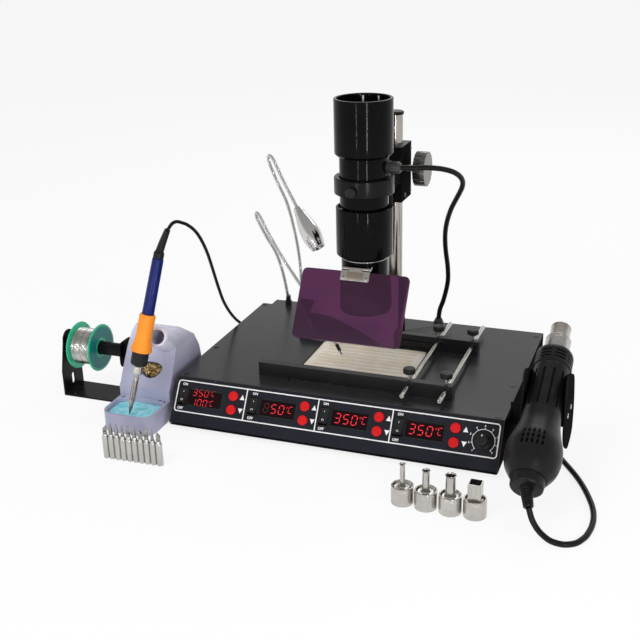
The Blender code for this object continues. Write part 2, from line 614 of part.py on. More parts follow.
def build_main_unit(root, coats):
    half = UNIT_WIDTH / 2
    rear = UNIT_DEPTH
    pan_top = PANEL_BOTTOM - GAP
    pan = place(box((-half + SHEET, -PANEL_REACH + SHEET, pan_top - PAN_THICKNESS),
                    (half - SHEET, rear - SHEET, pan_top)), "base_pan", root, coats["case"])
    inner = half - SKIRT_INSET
    fuse(pan, "skirt", box((-inner, -PANEL_REACH + SKIRT_INSET, FOOT_HEIGHT),
                           (inner, rear - SKIRT_INSET, pan_top - PAN_THICKNESS / 2)))
    cut(pan, "tray", box((-inner + PAN_THICKNESS, -PANEL_REACH + SKIRT_INSET + PAN_THICKNESS,
                          FOOT_HEIGHT + PAN_THICKNESS),
                         (inner - PAN_THICKNESS, rear - SKIRT_INSET - PAN_THICKNESS, pan_top + OVERRUN)))
    feet = bmesh.new()
    for x in (-half + FOOT_INSET, half - FOOT_INSET):
        for y in (-PANEL_REACH + FOOT_INSET, rear - FOOT_INSET):
            cylinder(FOOT_RADIUS, 0, FOOT_HEIGHT + PAN_THICKNESS / 2, 16, centre=(x, y, 0), bm=feet)
    fuse(pan, "feet", feet)
    heater_base = UNIT_HEIGHT - HEATER_SINK - HEATER_THICKNESS - GAP
    posts = bmesh.new()
    reach = HEATER_SIDE / 2 - POST_SIDE
    for x in (HEATER_X - reach, HEATER_X + reach):
        for y in (HEATER_Y - reach, HEATER_Y + reach):
            box((x - POST_SIDE / 2, y - POST_SIDE / 2, FOOT_HEIGHT + PAN_THICKNESS / 2),
                (x + POST_SIDE / 2, y + POST_SIDE / 2, heater_base), posts)
    fuse(pan, "posts", posts)

    side_view = ((-PANEL_REACH, PANEL_BOTTOM), (rear, PANEL_BOTTOM), (rear, UNIT_HEIGHT), (0, UNIT_HEIGHT))
    cover = place(prism(side_view, -half, half, "X"), "top_cover", root, coats["case"])
    cut(cover, "inside", box((-half + SHEET, -PANEL_REACH - OVERRUN, PANEL_BOTTOM - OVERRUN),
                             (half - SHEET, rear - SHEET, UNIT_HEIGHT - SHEET)))
    side = HEATER_SIDE / 2 + HEATER_GAP
    cut(cover, "heater_window", prism(
        rounded(HEATER_X - side, HEATER_Y - side, HEATER_X + side, HEATER_Y + side,
                HEATER_CORNER + HEATER_GAP), UNIT_HEIGHT - SHEET - OVERRUN, UNIT_HEIGHT + OVERRUN))
    grille = bmesh.new()
    pitch = GRILLE_WIDTH / FAN_GRILLE_SLOTS
    for i in range(FAN_GRILLE_SLOTS):
        x = GRILLE_X + (i + 0.25) * pitch
        box((x, rear - SHEET - OVERRUN, (UNIT_HEIGHT - GRILLE_HEIGHT) / 2),
            (x + pitch / 2, rear + OVERRUN, (UNIT_HEIGHT + GRILLE_HEIGHT) / 2), grille)
    cut(cover, "grille", grille)
    fuse(cover, "shelf", box((-half + SHELF_LEFT, rear - SHEET, UNIT_HEIGHT - SHEET),
                             (-half + SHELF_LEFT + SHELF_WIDTH, rear + SHELF_DEPTH, UNIT_HEIGHT)))
    fuse(cover, "inlet", prism(rounded(INLET_X - INLET_WIDTH / 2, CABLE_GLAND_Z - INLET_HEIGHT / 2,
                                       INLET_X + INLET_WIDTH / 2, CABLE_GLAND_Z + INLET_HEIGHT / 2,
                                       INLET_HEIGHT / 8, 2),
                               rear - SHEET / 2, rear + SHEET, "Y"))
    cut(cover, "inlet_well", prism(rounded(INLET_X - INLET_WIDTH / 2 + SHEET, CABLE_GLAND_Z - INLET_HEIGHT / 2 + SHEET,
                                           INLET_X + INLET_WIDTH / 2 - SHEET,
                                           CABLE_GLAND_Z + INLET_HEIGHT / 2 - SHEET, INLET_HEIGHT / 8, 2),
                                   rear - OVERRUN, rear + OVERRUN, "Y"))
    glands = bmesh.new()
    for x in (IRON_CABLE_ROUTE[-1][0], GUN_CABLE_ROUTE[-1][0]):
        turned(((0, -SHEET / 2), (GLAND_RADIUS, -SHEET / 2), (GLAND_RADIUS, GLAND_LENGTH / 2),
                (GLAND_RADIUS * 0.62, GLAND_LENGTH), (0, GLAND_LENGTH)), 16, ALONG_Y,
               (x, rear, CABLE_GLAND_Z), bm=glands)
    turned(((0, -SHEET / 2), (GLAND_RADIUS, -SHEET / 2), (GLAND_RADIUS, GLAND_LENGTH / 2),
            (GLAND_RADIUS * 0.62, GLAND_LENGTH), (0, GLAND_LENGTH)), 16, None,
           (*LAMP_CABLE_END, UNIT_HEIGHT), bm=glands)
    fuse(cover, "glands", glands)

    top = UNIT_HEIGHT - HEATER_SINK
    crest = HEATER_RIB_HEIGHT / 2
    waves = [(HEATER_Y - HEATER_SIDE / 2 + HEATER_SIDE * k / (HEATER_RIBS * 4),
              top - crest + crest * cos(2 * pi * k / 4)) for k in range(HEATER_RIBS * 4 + 1)]
    outline = [(waves[-1][0], top - HEATER_THICKNESS), (waves[0][0], top - HEATER_THICKNESS)] + waves
    heater = place(prism(outline, HEATER_X - HEATER_SIDE / 2, HEATER_X + HEATER_SIDE / 2, "X"),
                   "preheat_plate", root, coats["ceramic"])
    side = HEATER_SIDE / 2
    boolean(heater, place(prism(rounded(HEATER_X - side, HEATER_Y - side, HEATER_X + side, HEATER_Y + side,
                                        HEATER_CORNER),
                                top - HEATER_THICKNESS - OVERRUN, top + OVERRUN),
                          "keep_heater", root, helper=True), "INTERSECT")


def build_panel(root, coats):
    """Everything on the sloping front. Its frame has Y up the slope and Z out of the face."""
    frame = empty("panel_frame", root, (0, -PANEL_REACH, PANEL_BOTTOM), Matrix.Rotation(PANEL_SLOPE, 3, "X"))
    half = UNIT_WIDTH / 2 - SHEET - GAP
    low = PANEL_THICKNESS * PANEL_REACH / (UNIT_HEIGHT - PANEL_BOTTOM) + GAP
    high = PANEL_LENGTH * (1 - (SHEET + GAP) / (UNIT_HEIGHT - PANEL_BOTTOM))
    panel = place(box((-half, low, -PANEL_THICKNESS), (half, high, 0)), "front_panel", frame, coats["panel"])
    row = CONTROL_ROW_SHARE * PANEL_LENGTH
    button_rows = [share * PANEL_LENGTH for share in BUTTON_ROW_SHARES]
    through = (-PANEL_THICKNESS - OVERRUN, OVERRUN)
    windows = bmesh.new()
    for share in SWITCH_SHARES:
        x = share * UNIT_WIDTH
        box((x - SWITCH_WIDTH / 2, row - SWITCH_HEIGHT / 2, through[0]),
            (x + SWITCH_WIDTH / 2, row + SWITCH_HEIGHT / 2, through[1]), windows)
    for share in DISPLAY_SHARES:
        x = share * UNIT_WIDTH
        box((x - DISPLAY_WIDTH / 2, row - DISPLAY_HEIGHT / 2, through[0]),
            (x + DISPLAY_WIDTH / 2, row + DISPLAY_HEIGHT / 2, through[1]), windows)
    for share in BUTTON_SHARES:
        for y in button_rows:
            cylinder(BUTTON_RADIUS + GAP, through[0], through[1], 12, centre=(share * UNIT_WIDTH, y, 0),
                     bm=windows)
    dial = (KNOB_SHARE * UNIT_WIDTH, row - KNOB_SPINDLE_RADIUS / 2)
    cylinder(KNOB_SPINDLE_RADIUS + GAP, through[0], through[1], 16, centre=(*dial, 0), bm=windows)
    cut(panel, "windows", windows)

    board_face = -PANEL_THICKNESS - SWITCH_DEPTH
    board = place(box((SWITCH_SHARES[0] * UNIT_WIDTH, row - DISPLAY_HEIGHT, board_face - BOARD_THICKNESS),
                      (KNOB_SHARE * UNIT_WIDTH, row + DISPLAY_HEIGHT * 0.9, board_face)),
                  "control_board", frame, coats["board"])
    modules = bmesh.new()
    for share in DISPLAY_SHARES:
        x = share * UNIT_WIDTH
        box((x - DISPLAY_WIDTH / 2 + GAP, row - DISPLAY_HEIGHT / 2 + GAP, board_face - BOARD_THICKNESS / 2),
            (x + DISPLAY_WIDTH / 2 - GAP, row + DISPLAY_HEIGHT / 2 - GAP, -GAP), modules)
    fuse(board, "modules", modules)

    pivot_depth = PANEL_THICKNESS
    half_width = SWITCH_WIDTH / 2 - GAP
    tall = SWITCH_HEIGHT / 2 - SWITCH_PROUD * 0.6
    crown = pivot_depth + SWITCH_PROUD
    foot = SWITCH_DEPTH - pivot_depth - OVERRUN
    side_view = ((-tall, -pivot_depth * 0.4), (-tall * 0.72, -foot * 0.75), (-tall * 0.3, -foot),
                 (tall * 0.3, -foot), (tall * 0.72, -foot * 0.75), (tall, -pivot_depth * 0.4),
                 (tall, crown), (tall * 0.55, crown * 0.72), (0, crown * 0.6), (-tall * 0.55, crown * 0.72),
                 (-tall, crown))
    for number, share in enumerate(SWITCH_SHARES, 1):
        pivot = empty(f"joint_power_switch_{number}", frame, (share * UNIT_WIDTH, row, -pivot_depth),
                      Matrix.Rotation(-SWITCH_TILT, 3, "X"), (0, 2 * SWITCH_TILT))
        place(prism(side_view, -half_width, half_width, "X"), f"power_switch_{number}", pivot, coats["gloss_black"])

    button_profile = ((0, -BUTTON_LENGTH + BUTTON_PROUD), (BUTTON_RADIUS, -BUTTON_LENGTH + BUTTON_PROUD),
                      (BUTTON_RADIUS, BUTTON_PROUD - BUTTON_DOME),
                      (BUTTON_RADIUS * 0.86, BUTTON_PROUD - BUTTON_DOME * 0.3), (BUTTON_RADIUS * 0.5, BUTTON_PROUD),
                      (0, BUTTON_PROUD))
    for number, share in enumerate(BUTTON_SHARES, 1):
        for word, y in zip(("up", "down"), button_rows):
            slide = empty(f"joint_{word}_button_{number}", frame, (share * UNIT_WIDTH, y, 0),
                          travel=(-BUTTON_TRAVEL, 0))
            place(turned(button_profile, 12), f"{word}_button_{number}", slide, coats["red"])

    spin = empty("joint_airflow_knob", frame, (*dial, 0), travel=(-KNOB_SWEEP, KNOB_SWEEP))
    skirt = KNOB_SKIRT_RADIUS
    profile = ((0, board_face + OVERRUN), (KNOB_SPINDLE_RADIUS, board_face + OVERRUN), (KNOB_SPINDLE_RADIUS, SLIDE_GAP),
               (skirt, SLIDE_GAP), (skirt, KNOB_SKIRT_HEIGHT * 0.6), (skirt * 0.88, KNOB_SKIRT_HEIGHT),
               (KNOB_CAP_RADIUS * 1.12, KNOB_SKIRT_HEIGHT * 1.2), (KNOB_CAP_RADIUS, KNOB_HEIGHT * 0.94),
               (KNOB_CAP_RADIUS * 0.88, KNOB_HEIGHT), (0, KNOB_HEIGHT))
    knob = place(turned(profile, 16), "airflow_knob", spin, coats["knob"])
    ridges = bmesh.new()
    for i in range(8):
        turn = Matrix.Rotation(2 * pi * i / 8, 3, "Z")
        cylinder(KNOB_CAP_RADIUS * 0.16, KNOB_SKIRT_HEIGHT * 1.6, KNOB_HEIGHT + OVERRUN, 6,
                 centre=turn @ Vector((KNOB_CAP_RADIUS * 1.08, 0, 0)), bm=ridges)
    cut(knob, "knob_flutes", ridges)


def build_board_holder(root, coats):
    floor = UNIT_HEIGHT + GAP
    rod_z = UNIT_HEIGHT + ROD_HEIGHT
    top = floor + BAR_HEIGHT
    for name, y, inward, travel in (("front_jaw", FRONT_BAR_Y, 1, FRONT_JAW_RANGE),
                                    ("rear_jaw", REAR_BAR_Y, -1, REAR_JAW_RANGE)):
        slide = empty("joint_" + name, root, (0, y, 0), travel=travel)
        step = BAR_STEP
        inner_face = BAR_DEPTH if inward > 0 else 0
        lip = inner_face - inward * step
        # The side that faces the circuit board has a low step for the board's edge to rest on
        side_view = [(0, floor), (BAR_DEPTH, floor), (BAR_DEPTH, top), (0, top)]
        if inward > 0:
            side_view = [(0, floor), (BAR_DEPTH, floor), (BAR_DEPTH, floor + BAR_HEIGHT / 2),
                         (lip, floor + BAR_HEIGHT / 2), (lip, top), (0, top)]
        else:
            side_view = [(0, floor), (BAR_DEPTH, floor), (BAR_DEPTH, top), (lip, top),
                         (lip, floor + BAR_HEIGHT / 2), (0, floor + BAR_HEIGHT / 2)]
        bar = place(prism(side_view, BAR_LEFT, BAR_LEFT + BAR_LENGTH, "X"), name, slide, coats["black_metal"])
        bores = bmesh.new()
        for x in (LEFT_ROD_X, RIGHT_ROD_X):
            cylinder(ROD_RADIUS + GAP, -OVERRUN, BAR_DEPTH + OVERRUN, 16, ALONG_Y, (x, 0, rod_z), bm=bores)
        cut(bar, name + "_rod_bores", bores)
        holes = bmesh.new()
        for x in (LEFT_ROD_X, RIGHT_ROD_X):
            cylinder(STUD_RADIUS + GAP, rod_z, top + OVERRUN, 12, centre=(x, (BAR_DEPTH - inward * step) / 2
                                                                      if inward > 0 else (BAR_DEPTH + step) / 2, 0),
                     bm=holes)
        cut(bar, name + "_stud_holes", holes)
        middle = (BAR_DEPTH - step) / 2 if inward > 0 else (BAR_DEPTH + step) / 2
        for word, x in (("left", LEFT_ROD_X), ("right", RIGHT_ROD_X)):
            end = "front" if inward > 0 else "rear"
            spin = empty(f"joint_{end}_{word}_screw", slide, (x, middle, top))
            lift = SCREW_HEAD_LIFT
            stud_foot = rod_z + ROD_RADIUS + GAP - top
            profile = ((0, stud_foot), (STUD_RADIUS, stud_foot), (STUD_RADIUS, lift),
                       (SCREW_HEAD_RADIUS * 0.88, lift), (SCREW_HEAD_RADIUS, lift + SCREW_HEAD_HEIGHT * 0.14),
                       (SCREW_HEAD_RADIUS, lift + SCREW_HEAD_HEIGHT * 0.86),
                       (SCREW_HEAD_RADIUS * 0.88, lift + SCREW_HEAD_HEIGHT), (0, lift + SCREW_HEAD_HEIGHT))
            place(turned(profile, 12), f"{end}_{word}_screw", spin, coats["gloss_black"])
    for name, x in (("left_guide_rod", LEFT_ROD_X), ("right_guide_rod", RIGHT_ROD_X)):
        profile = ((0, ROD_FRONT), (ROD_RADIUS - EDGE, ROD_FRONT), (ROD_RADIUS, ROD_FRONT + EDGE),
                   (ROD_RADIUS, ROD_REAR - EDGE), (ROD_RADIUS - EDGE, ROD_REAR), (0, ROD_REAR))
        place(turned(profile, 16, ALONG_Y, (x, 0, rod_z)), name, root, coats["steel"])


def rack_outline(pole_front, low, high, pinion_z):
    """The rack's side view: straight-sided teeth whose gaps stand against the pinion's teeth."""
    pitch = pi * TOOTH_MODULE
    addendum, dedendum = 0.8 * TOOTH_MODULE, 1.1 * TOOTH_MODULE
    line = pole_front - RACK_FACE + addendum
    tip = pitch / 4 - TOOTH_BACKLASH - addendum * tan(pi / 9)
    base = pitch / 4 - TOOTH_BACKLASH + dedendum * tan(pi / 9)
    first = int((low - pinion_z) / pitch) + 1
    last = int((high - pinion_z) / pitch) - 1
    points = [(pole_front + RACK_FACE / 2, low), (line + dedendum, low)]
    for k in range(first, last + 1):
        # A tooth lies half a pitch off the pinion's own tooth
        z = pinion_z + (k + 0.5) * pitch
        points += [(line + dedendum, z - base), (line - addendum, z - tip),
                   (line - addendum, z + tip), (line + dedendum, z + base)]
    points += [(line + dedendum, high), (pole_front + RACK_FACE / 2, high)]
    return points, line


def pinion_outline(teeth, module):
    """Involute flanks about the origin, with one tooth pointing at +a."""
    pitch_radius = teeth * module / 2
    base_radius = pitch_radius * cos(pi / 9)
    inv = tan(pi / 9) - pi / 9
    points = []
    radii = (pitch_radius - 1.1 * module, pitch_radius, pitch_radius + 0.75 * module)
    for k in range(teeth):
        flank = []
        for radius in radii:
            roll = acos(min(1, base_radius / radius))
            half = (pi / 2 / teeth - TOOTH_BACKLASH / pitch_radius + inv - (tan(roll) - roll))
            flank.append((radius, half))
        centre = 2 * pi * k / teeth
        for radius, half in flank:
            points.append((radius * cos(centre - half), radius * sin(centre - half)))
        for radius, half in reversed(flank):
            points.append((radius * cos(centre + half), radius * sin(centre + half)))
    return points


def build_column(root, coats):
    base = UNIT_HEIGHT + GAP
    centre = (LAMP_X, COLUMN_Y, 0)
    profile = ((0, base), (BASE_COLLAR_RADIUS, base), (BASE_COLLAR_RADIUS, base + BASE_COLLAR_HEIGHT - EDGE),
               (BASE_COLLAR_RADIUS - EDGE, base + BASE_COLLAR_HEIGHT), (COLUMN_RADIUS, base + BASE_COLLAR_HEIGHT),
               (COLUMN_RADIUS, COLUMN_TOP - COLUMN_CAP), (COLUMN_RADIUS * 1.12, COLUMN_TOP - COLUMN_CAP),
               (COLUMN_RADIUS * 1.12, COLUMN_TOP - EDGE), (COLUMN_RADIUS, COLUMN_TOP), (0, COLUMN_TOP))
    column = place(turned(profile, 20, centre=centre), "column", root, coats["chrome"])
    outline, line = rack_outline(COLUMN_Y - COLUMN_RADIUS, RACK_BOTTOM,
                                 COLUMN_TOP - COLUMN_CAP - OVERRUN, PINION_Z)
    fuse(column, "rack", prism(outline, LAMP_X - RACK_WIDTH / 2, LAMP_X + RACK_WIDTH / 2, "X"))
    return line


def build_lamp(root, coats, rack_line):
    lift = empty("joint_height_slide", root, (LAMP_X, COLUMN_Y, 0), travel=HEIGHT_RANGE)
    back = LAMP_Y - COLUMN_Y
    front = CARRIAGE_FRONT - COLUMN_Y
    rear = front + CARRIAGE_DEPTH
    half = CARRIAGE_WIDTH / 2
    top = CARRIAGE_BOTTOM + CARRIAGE_HEIGHT
    arm_front = back + COLLAR_RADIUS * 0.8
    side_view = ((front, CARRIAGE_BOTTOM), (rear, CARRIAGE_BOTTOM), (rear, top), (front, top),
                 (front, ARM_BOTTOM + ARM_HEIGHT), (arm_front, ARM_BOTTOM + ARM_HEIGHT),
                 (arm_front, ARM_BOTTOM), (front, ARM_BOTTOM))
    carriage = place(prism(side_view, -half, half, "X"), "carriage", lift, coats["black_metal"])
    bores = cylinder(COLUMN_RADIUS + SLIDE_GAP, CARRIAGE_BOTTOM - OVERRUN, top + OVERRUN, 32)
    cut(carriage, "pole_bore", bores)
    rack_front = -COLUMN_RADIUS - RACK_FACE - SLIDE_GAP
    cut(carriage, "rack_slot", box((-RACK_WIDTH / 2 - SLIDE_GAP, rack_front, CARRIAGE_BOTTOM - OVERRUN),
                                   (RACK_WIDTH / 2 + SLIDE_GAP, 0, top + OVERRUN)))
    cut(carriage, "lamp_seat", cylinder(COLLAR_RADIUS + GAP, ARM_BOTTOM - OVERRUN,
                                        ARM_BOTTOM + ARM_HEIGHT + OVERRUN, 48, centre=(0, back, 0)))
    pinion_radius = PINION_TEETH * TOOTH_MODULE / 2
    pinion_y = rack_line - pinion_radius - COLUMN_Y
    cavity = pinion_radius + TOOTH_MODULE + SLIDE_GAP
    cut(carriage, "pinion_room", cylinder(cavity, -RACK_WIDTH / 2 - SLIDE_GAP, RACK_WIDTH / 2 + SLIDE_GAP, 24,
                                          ALONG_X, (0, pinion_y, PINION_Z)))
    cut(carriage, "shaft_bore", cylinder(SHAFT_RADIUS + GAP, 0, half + OVERRUN, 16, ALONG_X,
                                         (0, pinion_y, PINION_Z)))
    bolts = cylinder(CLAMP_BOLT_RADIUS, ARM_BOTTOM - CLAMP_BOLT_DROP, ARM_BOTTOM + EDGE, 12,
                     centre=(half * 0.72, (front + arm_front) / 2, 0))
    cylinder(CLAMP_BOLT_RADIUS * 1.8, half - EDGE, half + CLAMP_BOLT_RADIUS, 16, ALONG_X,
             (0, (front + arm_front) / 2, ARM_BOTTOM + ARM_HEIGHT / 4), bm=bolts)
    fuse(carriage, "clamp_bolts", bolts)

    spin = empty("joint_height_knob", lift, (0, pinion_y, PINION_Z))
    gear = [(a, b) for a, b in pinion_outline(PINION_TEETH, TOOTH_MODULE)]
    knob = place(prism(gear, -RACK_WIDTH / 2, RACK_WIDTH / 2, "X"), "height_knob", spin, coats["gunmetal"])
    face = half + HEIGHT_KNOB_STANDOFF
    shaft = cylinder(SHAFT_RADIUS, 0, face + EDGE, 16, ALONG_X)
    fuse(knob, "shaft", shaft)
    ridge = HEIGHT_KNOB_RIDGE
    outline = []
    for k in range(HEIGHT_KNOB_RIDGES):
        for share, depth in ((0.0, 0), (0.55, 0), (0.68, ridge), (0.87, ridge)):
            angle = 2 * pi * (k + share) / HEIGHT_KNOB_RIDGES
            outline.append(((HEIGHT_KNOB_RADIUS - depth) * cos(angle), (HEIGHT_KNOB_RADIUS - depth) * sin(angle)))
    fuse(knob, "grip_wheel", prism(outline, face, face + HEIGHT_KNOB_THICKNESS, "X"))

    centre = (0, back, 0)
    inner = LAMP_TUBE_RADIUS + GAP
    ring = ((inner, COLLAR_BOTTOM), (COLLAR_RADIUS - EDGE, COLLAR_BOTTOM), (COLLAR_RADIUS, COLLAR_BOTTOM + EDGE),
            (COLLAR_RADIUS, COLLAR_BOTTOM + COLLAR_HEIGHT - EDGE), (COLLAR_RADIUS - EDGE, COLLAR_BOTTOM + COLLAR_HEIGHT),
            (inner, COLLAR_BOTTOM + COLLAR_HEIGHT))
    collar = place(turned(ring, 32, centre=centre, closed=True), "lamp_collar", lift, coats["gloss_black"])
    screw_line = Vector((0, back, COLLAR_BOTTOM + COLLAR_HEIGHT / 2 - COLLAR_SCREW_DROP))
    outward = Vector((-sin(COLLAR_SCREW_TURN), -cos(COLLAR_SCREW_TURN), 0))
    cut(collar, "screw_hole", cylinder(STUD_RADIUS + GAP, 0, COLLAR_RADIUS + OVERRUN, 12, axis_turn(outward),
                                       screw_line))
    turn = empty("joint_collar_screw", lift, screw_line + outward * COLLAR_RADIUS, axis_turn(outward))
    tip = inner + GAP - COLLAR_RADIUS
    head = COLLAR_SCREW_RADIUS
    profile = ((0, tip), (STUD_RADIUS, tip), (STUD_RADIUS, GAP), (head, GAP), (head, COLLAR_SCREW_HEAD - EDGE),
               (head - EDGE, COLLAR_SCREW_HEAD), (0, COLLAR_SCREW_HEAD))
    place(turned(profile, 14), "collar_screw", turn, coats["black_metal"])

    barrel_top = BARREL_BOTTOM + BARREL_HEIGHT
    tube_low, tube_high = barrel_top + GAP, SHADE_BOTTOM - GAP
    tube = place(turned(((LAMP_TUBE_RADIUS - LAMP_TUBE_WALL, tube_low), (LAMP_TUBE_RADIUS, tube_low),
                         (LAMP_TUBE_RADIUS, tube_high), (LAMP_TUBE_RADIUS - LAMP_TUBE_WALL, tube_high)),
                        32, centre=centre, closed=True), "lamp_tube", lift, coats["gloss_black"])
    fuse(tube, "lamp_gland", turned(((0, LAMP_TUBE_RADIUS - LAMP_TUBE_WALL / 2),
                                     (LAMP_GLAND_RADIUS, LAMP_TUBE_RADIUS - LAMP_TUBE_WALL / 2),
                                     (LAMP_GLAND_RADIUS, LAMP_TUBE_RADIUS + LAMP_GLAND_LENGTH * 0.8),
                                     (LAMP_GLAND_RADIUS * 0.7, LAMP_TUBE_RADIUS + LAMP_GLAND_LENGTH),
                                     (0, LAMP_TUBE_RADIUS + LAMP_GLAND_LENGTH)), 16, ALONG_X,
                                    (0, back, LAMP_GLAND_Z)))

    shade_top = SHADE_BOTTOM + SHADE_HEIGHT
    floor = SHADE_BOTTOM + SHADE_WALL
    shade = ((0, SHADE_BOTTOM), (SHADE_RADIUS - SHADE_CHAMFER, SHADE_BOTTOM), (SHADE_RADIUS, SHADE_BOTTOM + SHADE_CHAMFER),
             (SHADE_RADIUS, shade_top - EDGE), (SHADE_RADIUS - EDGE, shade_top),
             (SHADE_RADIUS - SHADE_WALL + EDGE, shade_top), (SHADE_RADIUS - SHADE_WALL, shade_top - EDGE),
             (SHADE_RADIUS - SHADE_WALL, floor), (0, floor))
    place(turned(shade, 32, centre=centre), "lamp_shade", lift, coats["gloss_black"])

    bore = BULB_NECK_RADIUS + GAP
    room = BARREL_RADIUS - BARREL_WALL
    shell = ((bore, barrel_top), (BARREL_RADIUS - EDGE, barrel_top), (BARREL_RADIUS, barrel_top - EDGE),
             (BARREL_RADIUS, BARREL_BOTTOM + SHADE_CHAMFER), (BARREL_RADIUS - SHADE_CHAMFER, BARREL_BOTTOM),
             (NOSE_RADIUS, BARREL_BOTTOM), (NOSE_RADIUS, NOSE_BOTTOM), (NOSE_RADIUS - NOSE_WALL, NOSE_BOTTOM),
             (NOSE_RADIUS - NOSE_WALL, BARREL_BOTTOM + BARREL_WALL), (room, BARREL_BOTTOM + BARREL_WALL),
             (room, barrel_top - BARREL_WALL), (bore, barrel_top - BARREL_WALL))
    barrel = place(turned(shell, 32, centre=centre, closed=True), "lamp_barrel", lift, coats["gloss_black"])
    hinge_y = HINGE_Y - COLUMN_Y
    knuckle = HINGE_WIDTH * 0.21
    wing = bmesh.new()
    for low, high in ((-HINGE_WIDTH / 2, -knuckle - GAP), (knuckle + GAP, HINGE_WIDTH / 2)):
        cylinder(HINGE_BARREL_RADIUS, low, high, 12, ALONG_X, (0, hinge_y, HINGE_Z), bm=wing)
    fuse(barrel, "knuckles", wing)
    arms = bmesh.new()
    for low, high in ((-HINGE_WIDTH / 2, -knuckle - GAP), (knuckle + GAP, HINGE_WIDTH / 2)):
        box((low, hinge_y, HINGE_Z - HINGE_LEAF_THICKNESS), (high, back - NOSE_RADIUS * 0.72,
                                                             HINGE_Z + HINGE_BARREL_RADIUS), arms)
    fuse(barrel, "hinge_arms", arms)

    bulb_low = BARREL_BOTTOM - BULB_LENGTH / 2
    bulb = ((0, bulb_low), (BULB_RADIUS * 0.9, bulb_low), (BULB_RADIUS, bulb_low + BULB_RADIUS / 4),
            (BULB_RADIUS, bulb_low + BULB_LENGTH * 0.7), (BULB_NECK_RADIUS, bulb_low + BULB_LENGTH),
            (BULB_NECK_RADIUS, barrel_top + BULB_NECK_RADIUS), (0, barrel_top + BULB_NECK_RADIUS))
    place(turned(bulb, 20, centre=centre), "ir_bulb", lift, coats["bulb"])

    flip = empty("joint_filter_flip", lift, (0, hinge_y, HINGE_Z), Matrix.Rotation(-GLASS_TILT, 3, "X"),
                 GLASS_RANGE)
    # The frame's -Z runs down the glass, and its -Y faces the user
    leaf_front = -HINGE_BARREL_RADIUS
    clip = place(cylinder(HINGE_BARREL_RADIUS, -knuckle, knuckle, 12, ALONG_X), "filter_clip", flip, coats["steel"])
    leaf_top = HINGE_BARREL_RADIUS + SLIDE_GAP
    fuse(clip, "leaf", box((-HINGE_WIDTH / 2, leaf_front, -HINGE_LEAF),
                           (HINGE_WIDTH / 2, leaf_front + HINGE_LEAF_THICKNESS, -leaf_top)))
    fuse(clip, "leaf_web", box((-knuckle, leaf_front, -leaf_top - EDGE),
                               (knuckle, leaf_front + HINGE_LEAF_THICKNESS, 0)))
    face = leaf_front + HINGE_LEAF_THICKNESS + GAP
    glass_top = -leaf_top - EDGE
    place(prism(rounded(-GLASS_WIDTH / 2, glass_top - GLASS_HEIGHT, GLASS_WIDTH / 2, glass_top, GLASS_CORNER),
                face, face + GLASS_THICKNESS, "Y"), "filter_glass", flip, coats["filter"])


def build_goosenecks(root, coats):
    nut_base = UNIT_HEIGHT + GAP
    for name, route, head in (("led_gooseneck", LED_NECK_ROUTE, False),
                              ("sensor_gooseneck", SENSOR_NECK_ROUTE, True)):
        path = smooth_route(route, 5 * GOOSENECK_RADIUS)
        radii = [GOOSENECK_RADIUS] * len(path)
        if head:
            probe = smooth_route(PROBE_ROUTE, 1.6 * GOOSENECK_RADIUS)[1:]
            path += probe
            radii += [PROBE_SLEEVE_RADIUS] * (len(probe) - 2) + [PROBE_RADIUS] * 2
        neck = place(sweep(path, radii, 6), name, root, coats["chrome"])
        x, y, _ = route[0]
        fuse(neck, name + "_nut", cylinder(NECK_NUT_RADIUS, nut_base, route[0][2] + NECK_NUT_HEIGHT / 2, 6,
                                           centre=(x, y, 0)))
    tail = Vector(LED_NECK_ROUTE[-1])
    along = (tail - Vector(LED_NECK_ROUTE[-2])).normalized()
    along = (along + Vector((0.03, -0.02, 0))).normalized()
    length = LED_HEAD_LENGTH
    profile = [(0, 0)] + [(radius * length * 0.8, share * length) for share, radius in LED_HEAD_SHARES]
    mouth = profile[-1][0] - LED_MOUTH_WALL
    profile += [(mouth, length), (mouth * 0.92, length - LED_MOUTH_DEPTH), (0, length - LED_MOUTH_DEPTH)]
    place(turned(profile, 16, axis_turn(along), tail + along * 2 * GAP), "led_head", root, coats["chrome"])


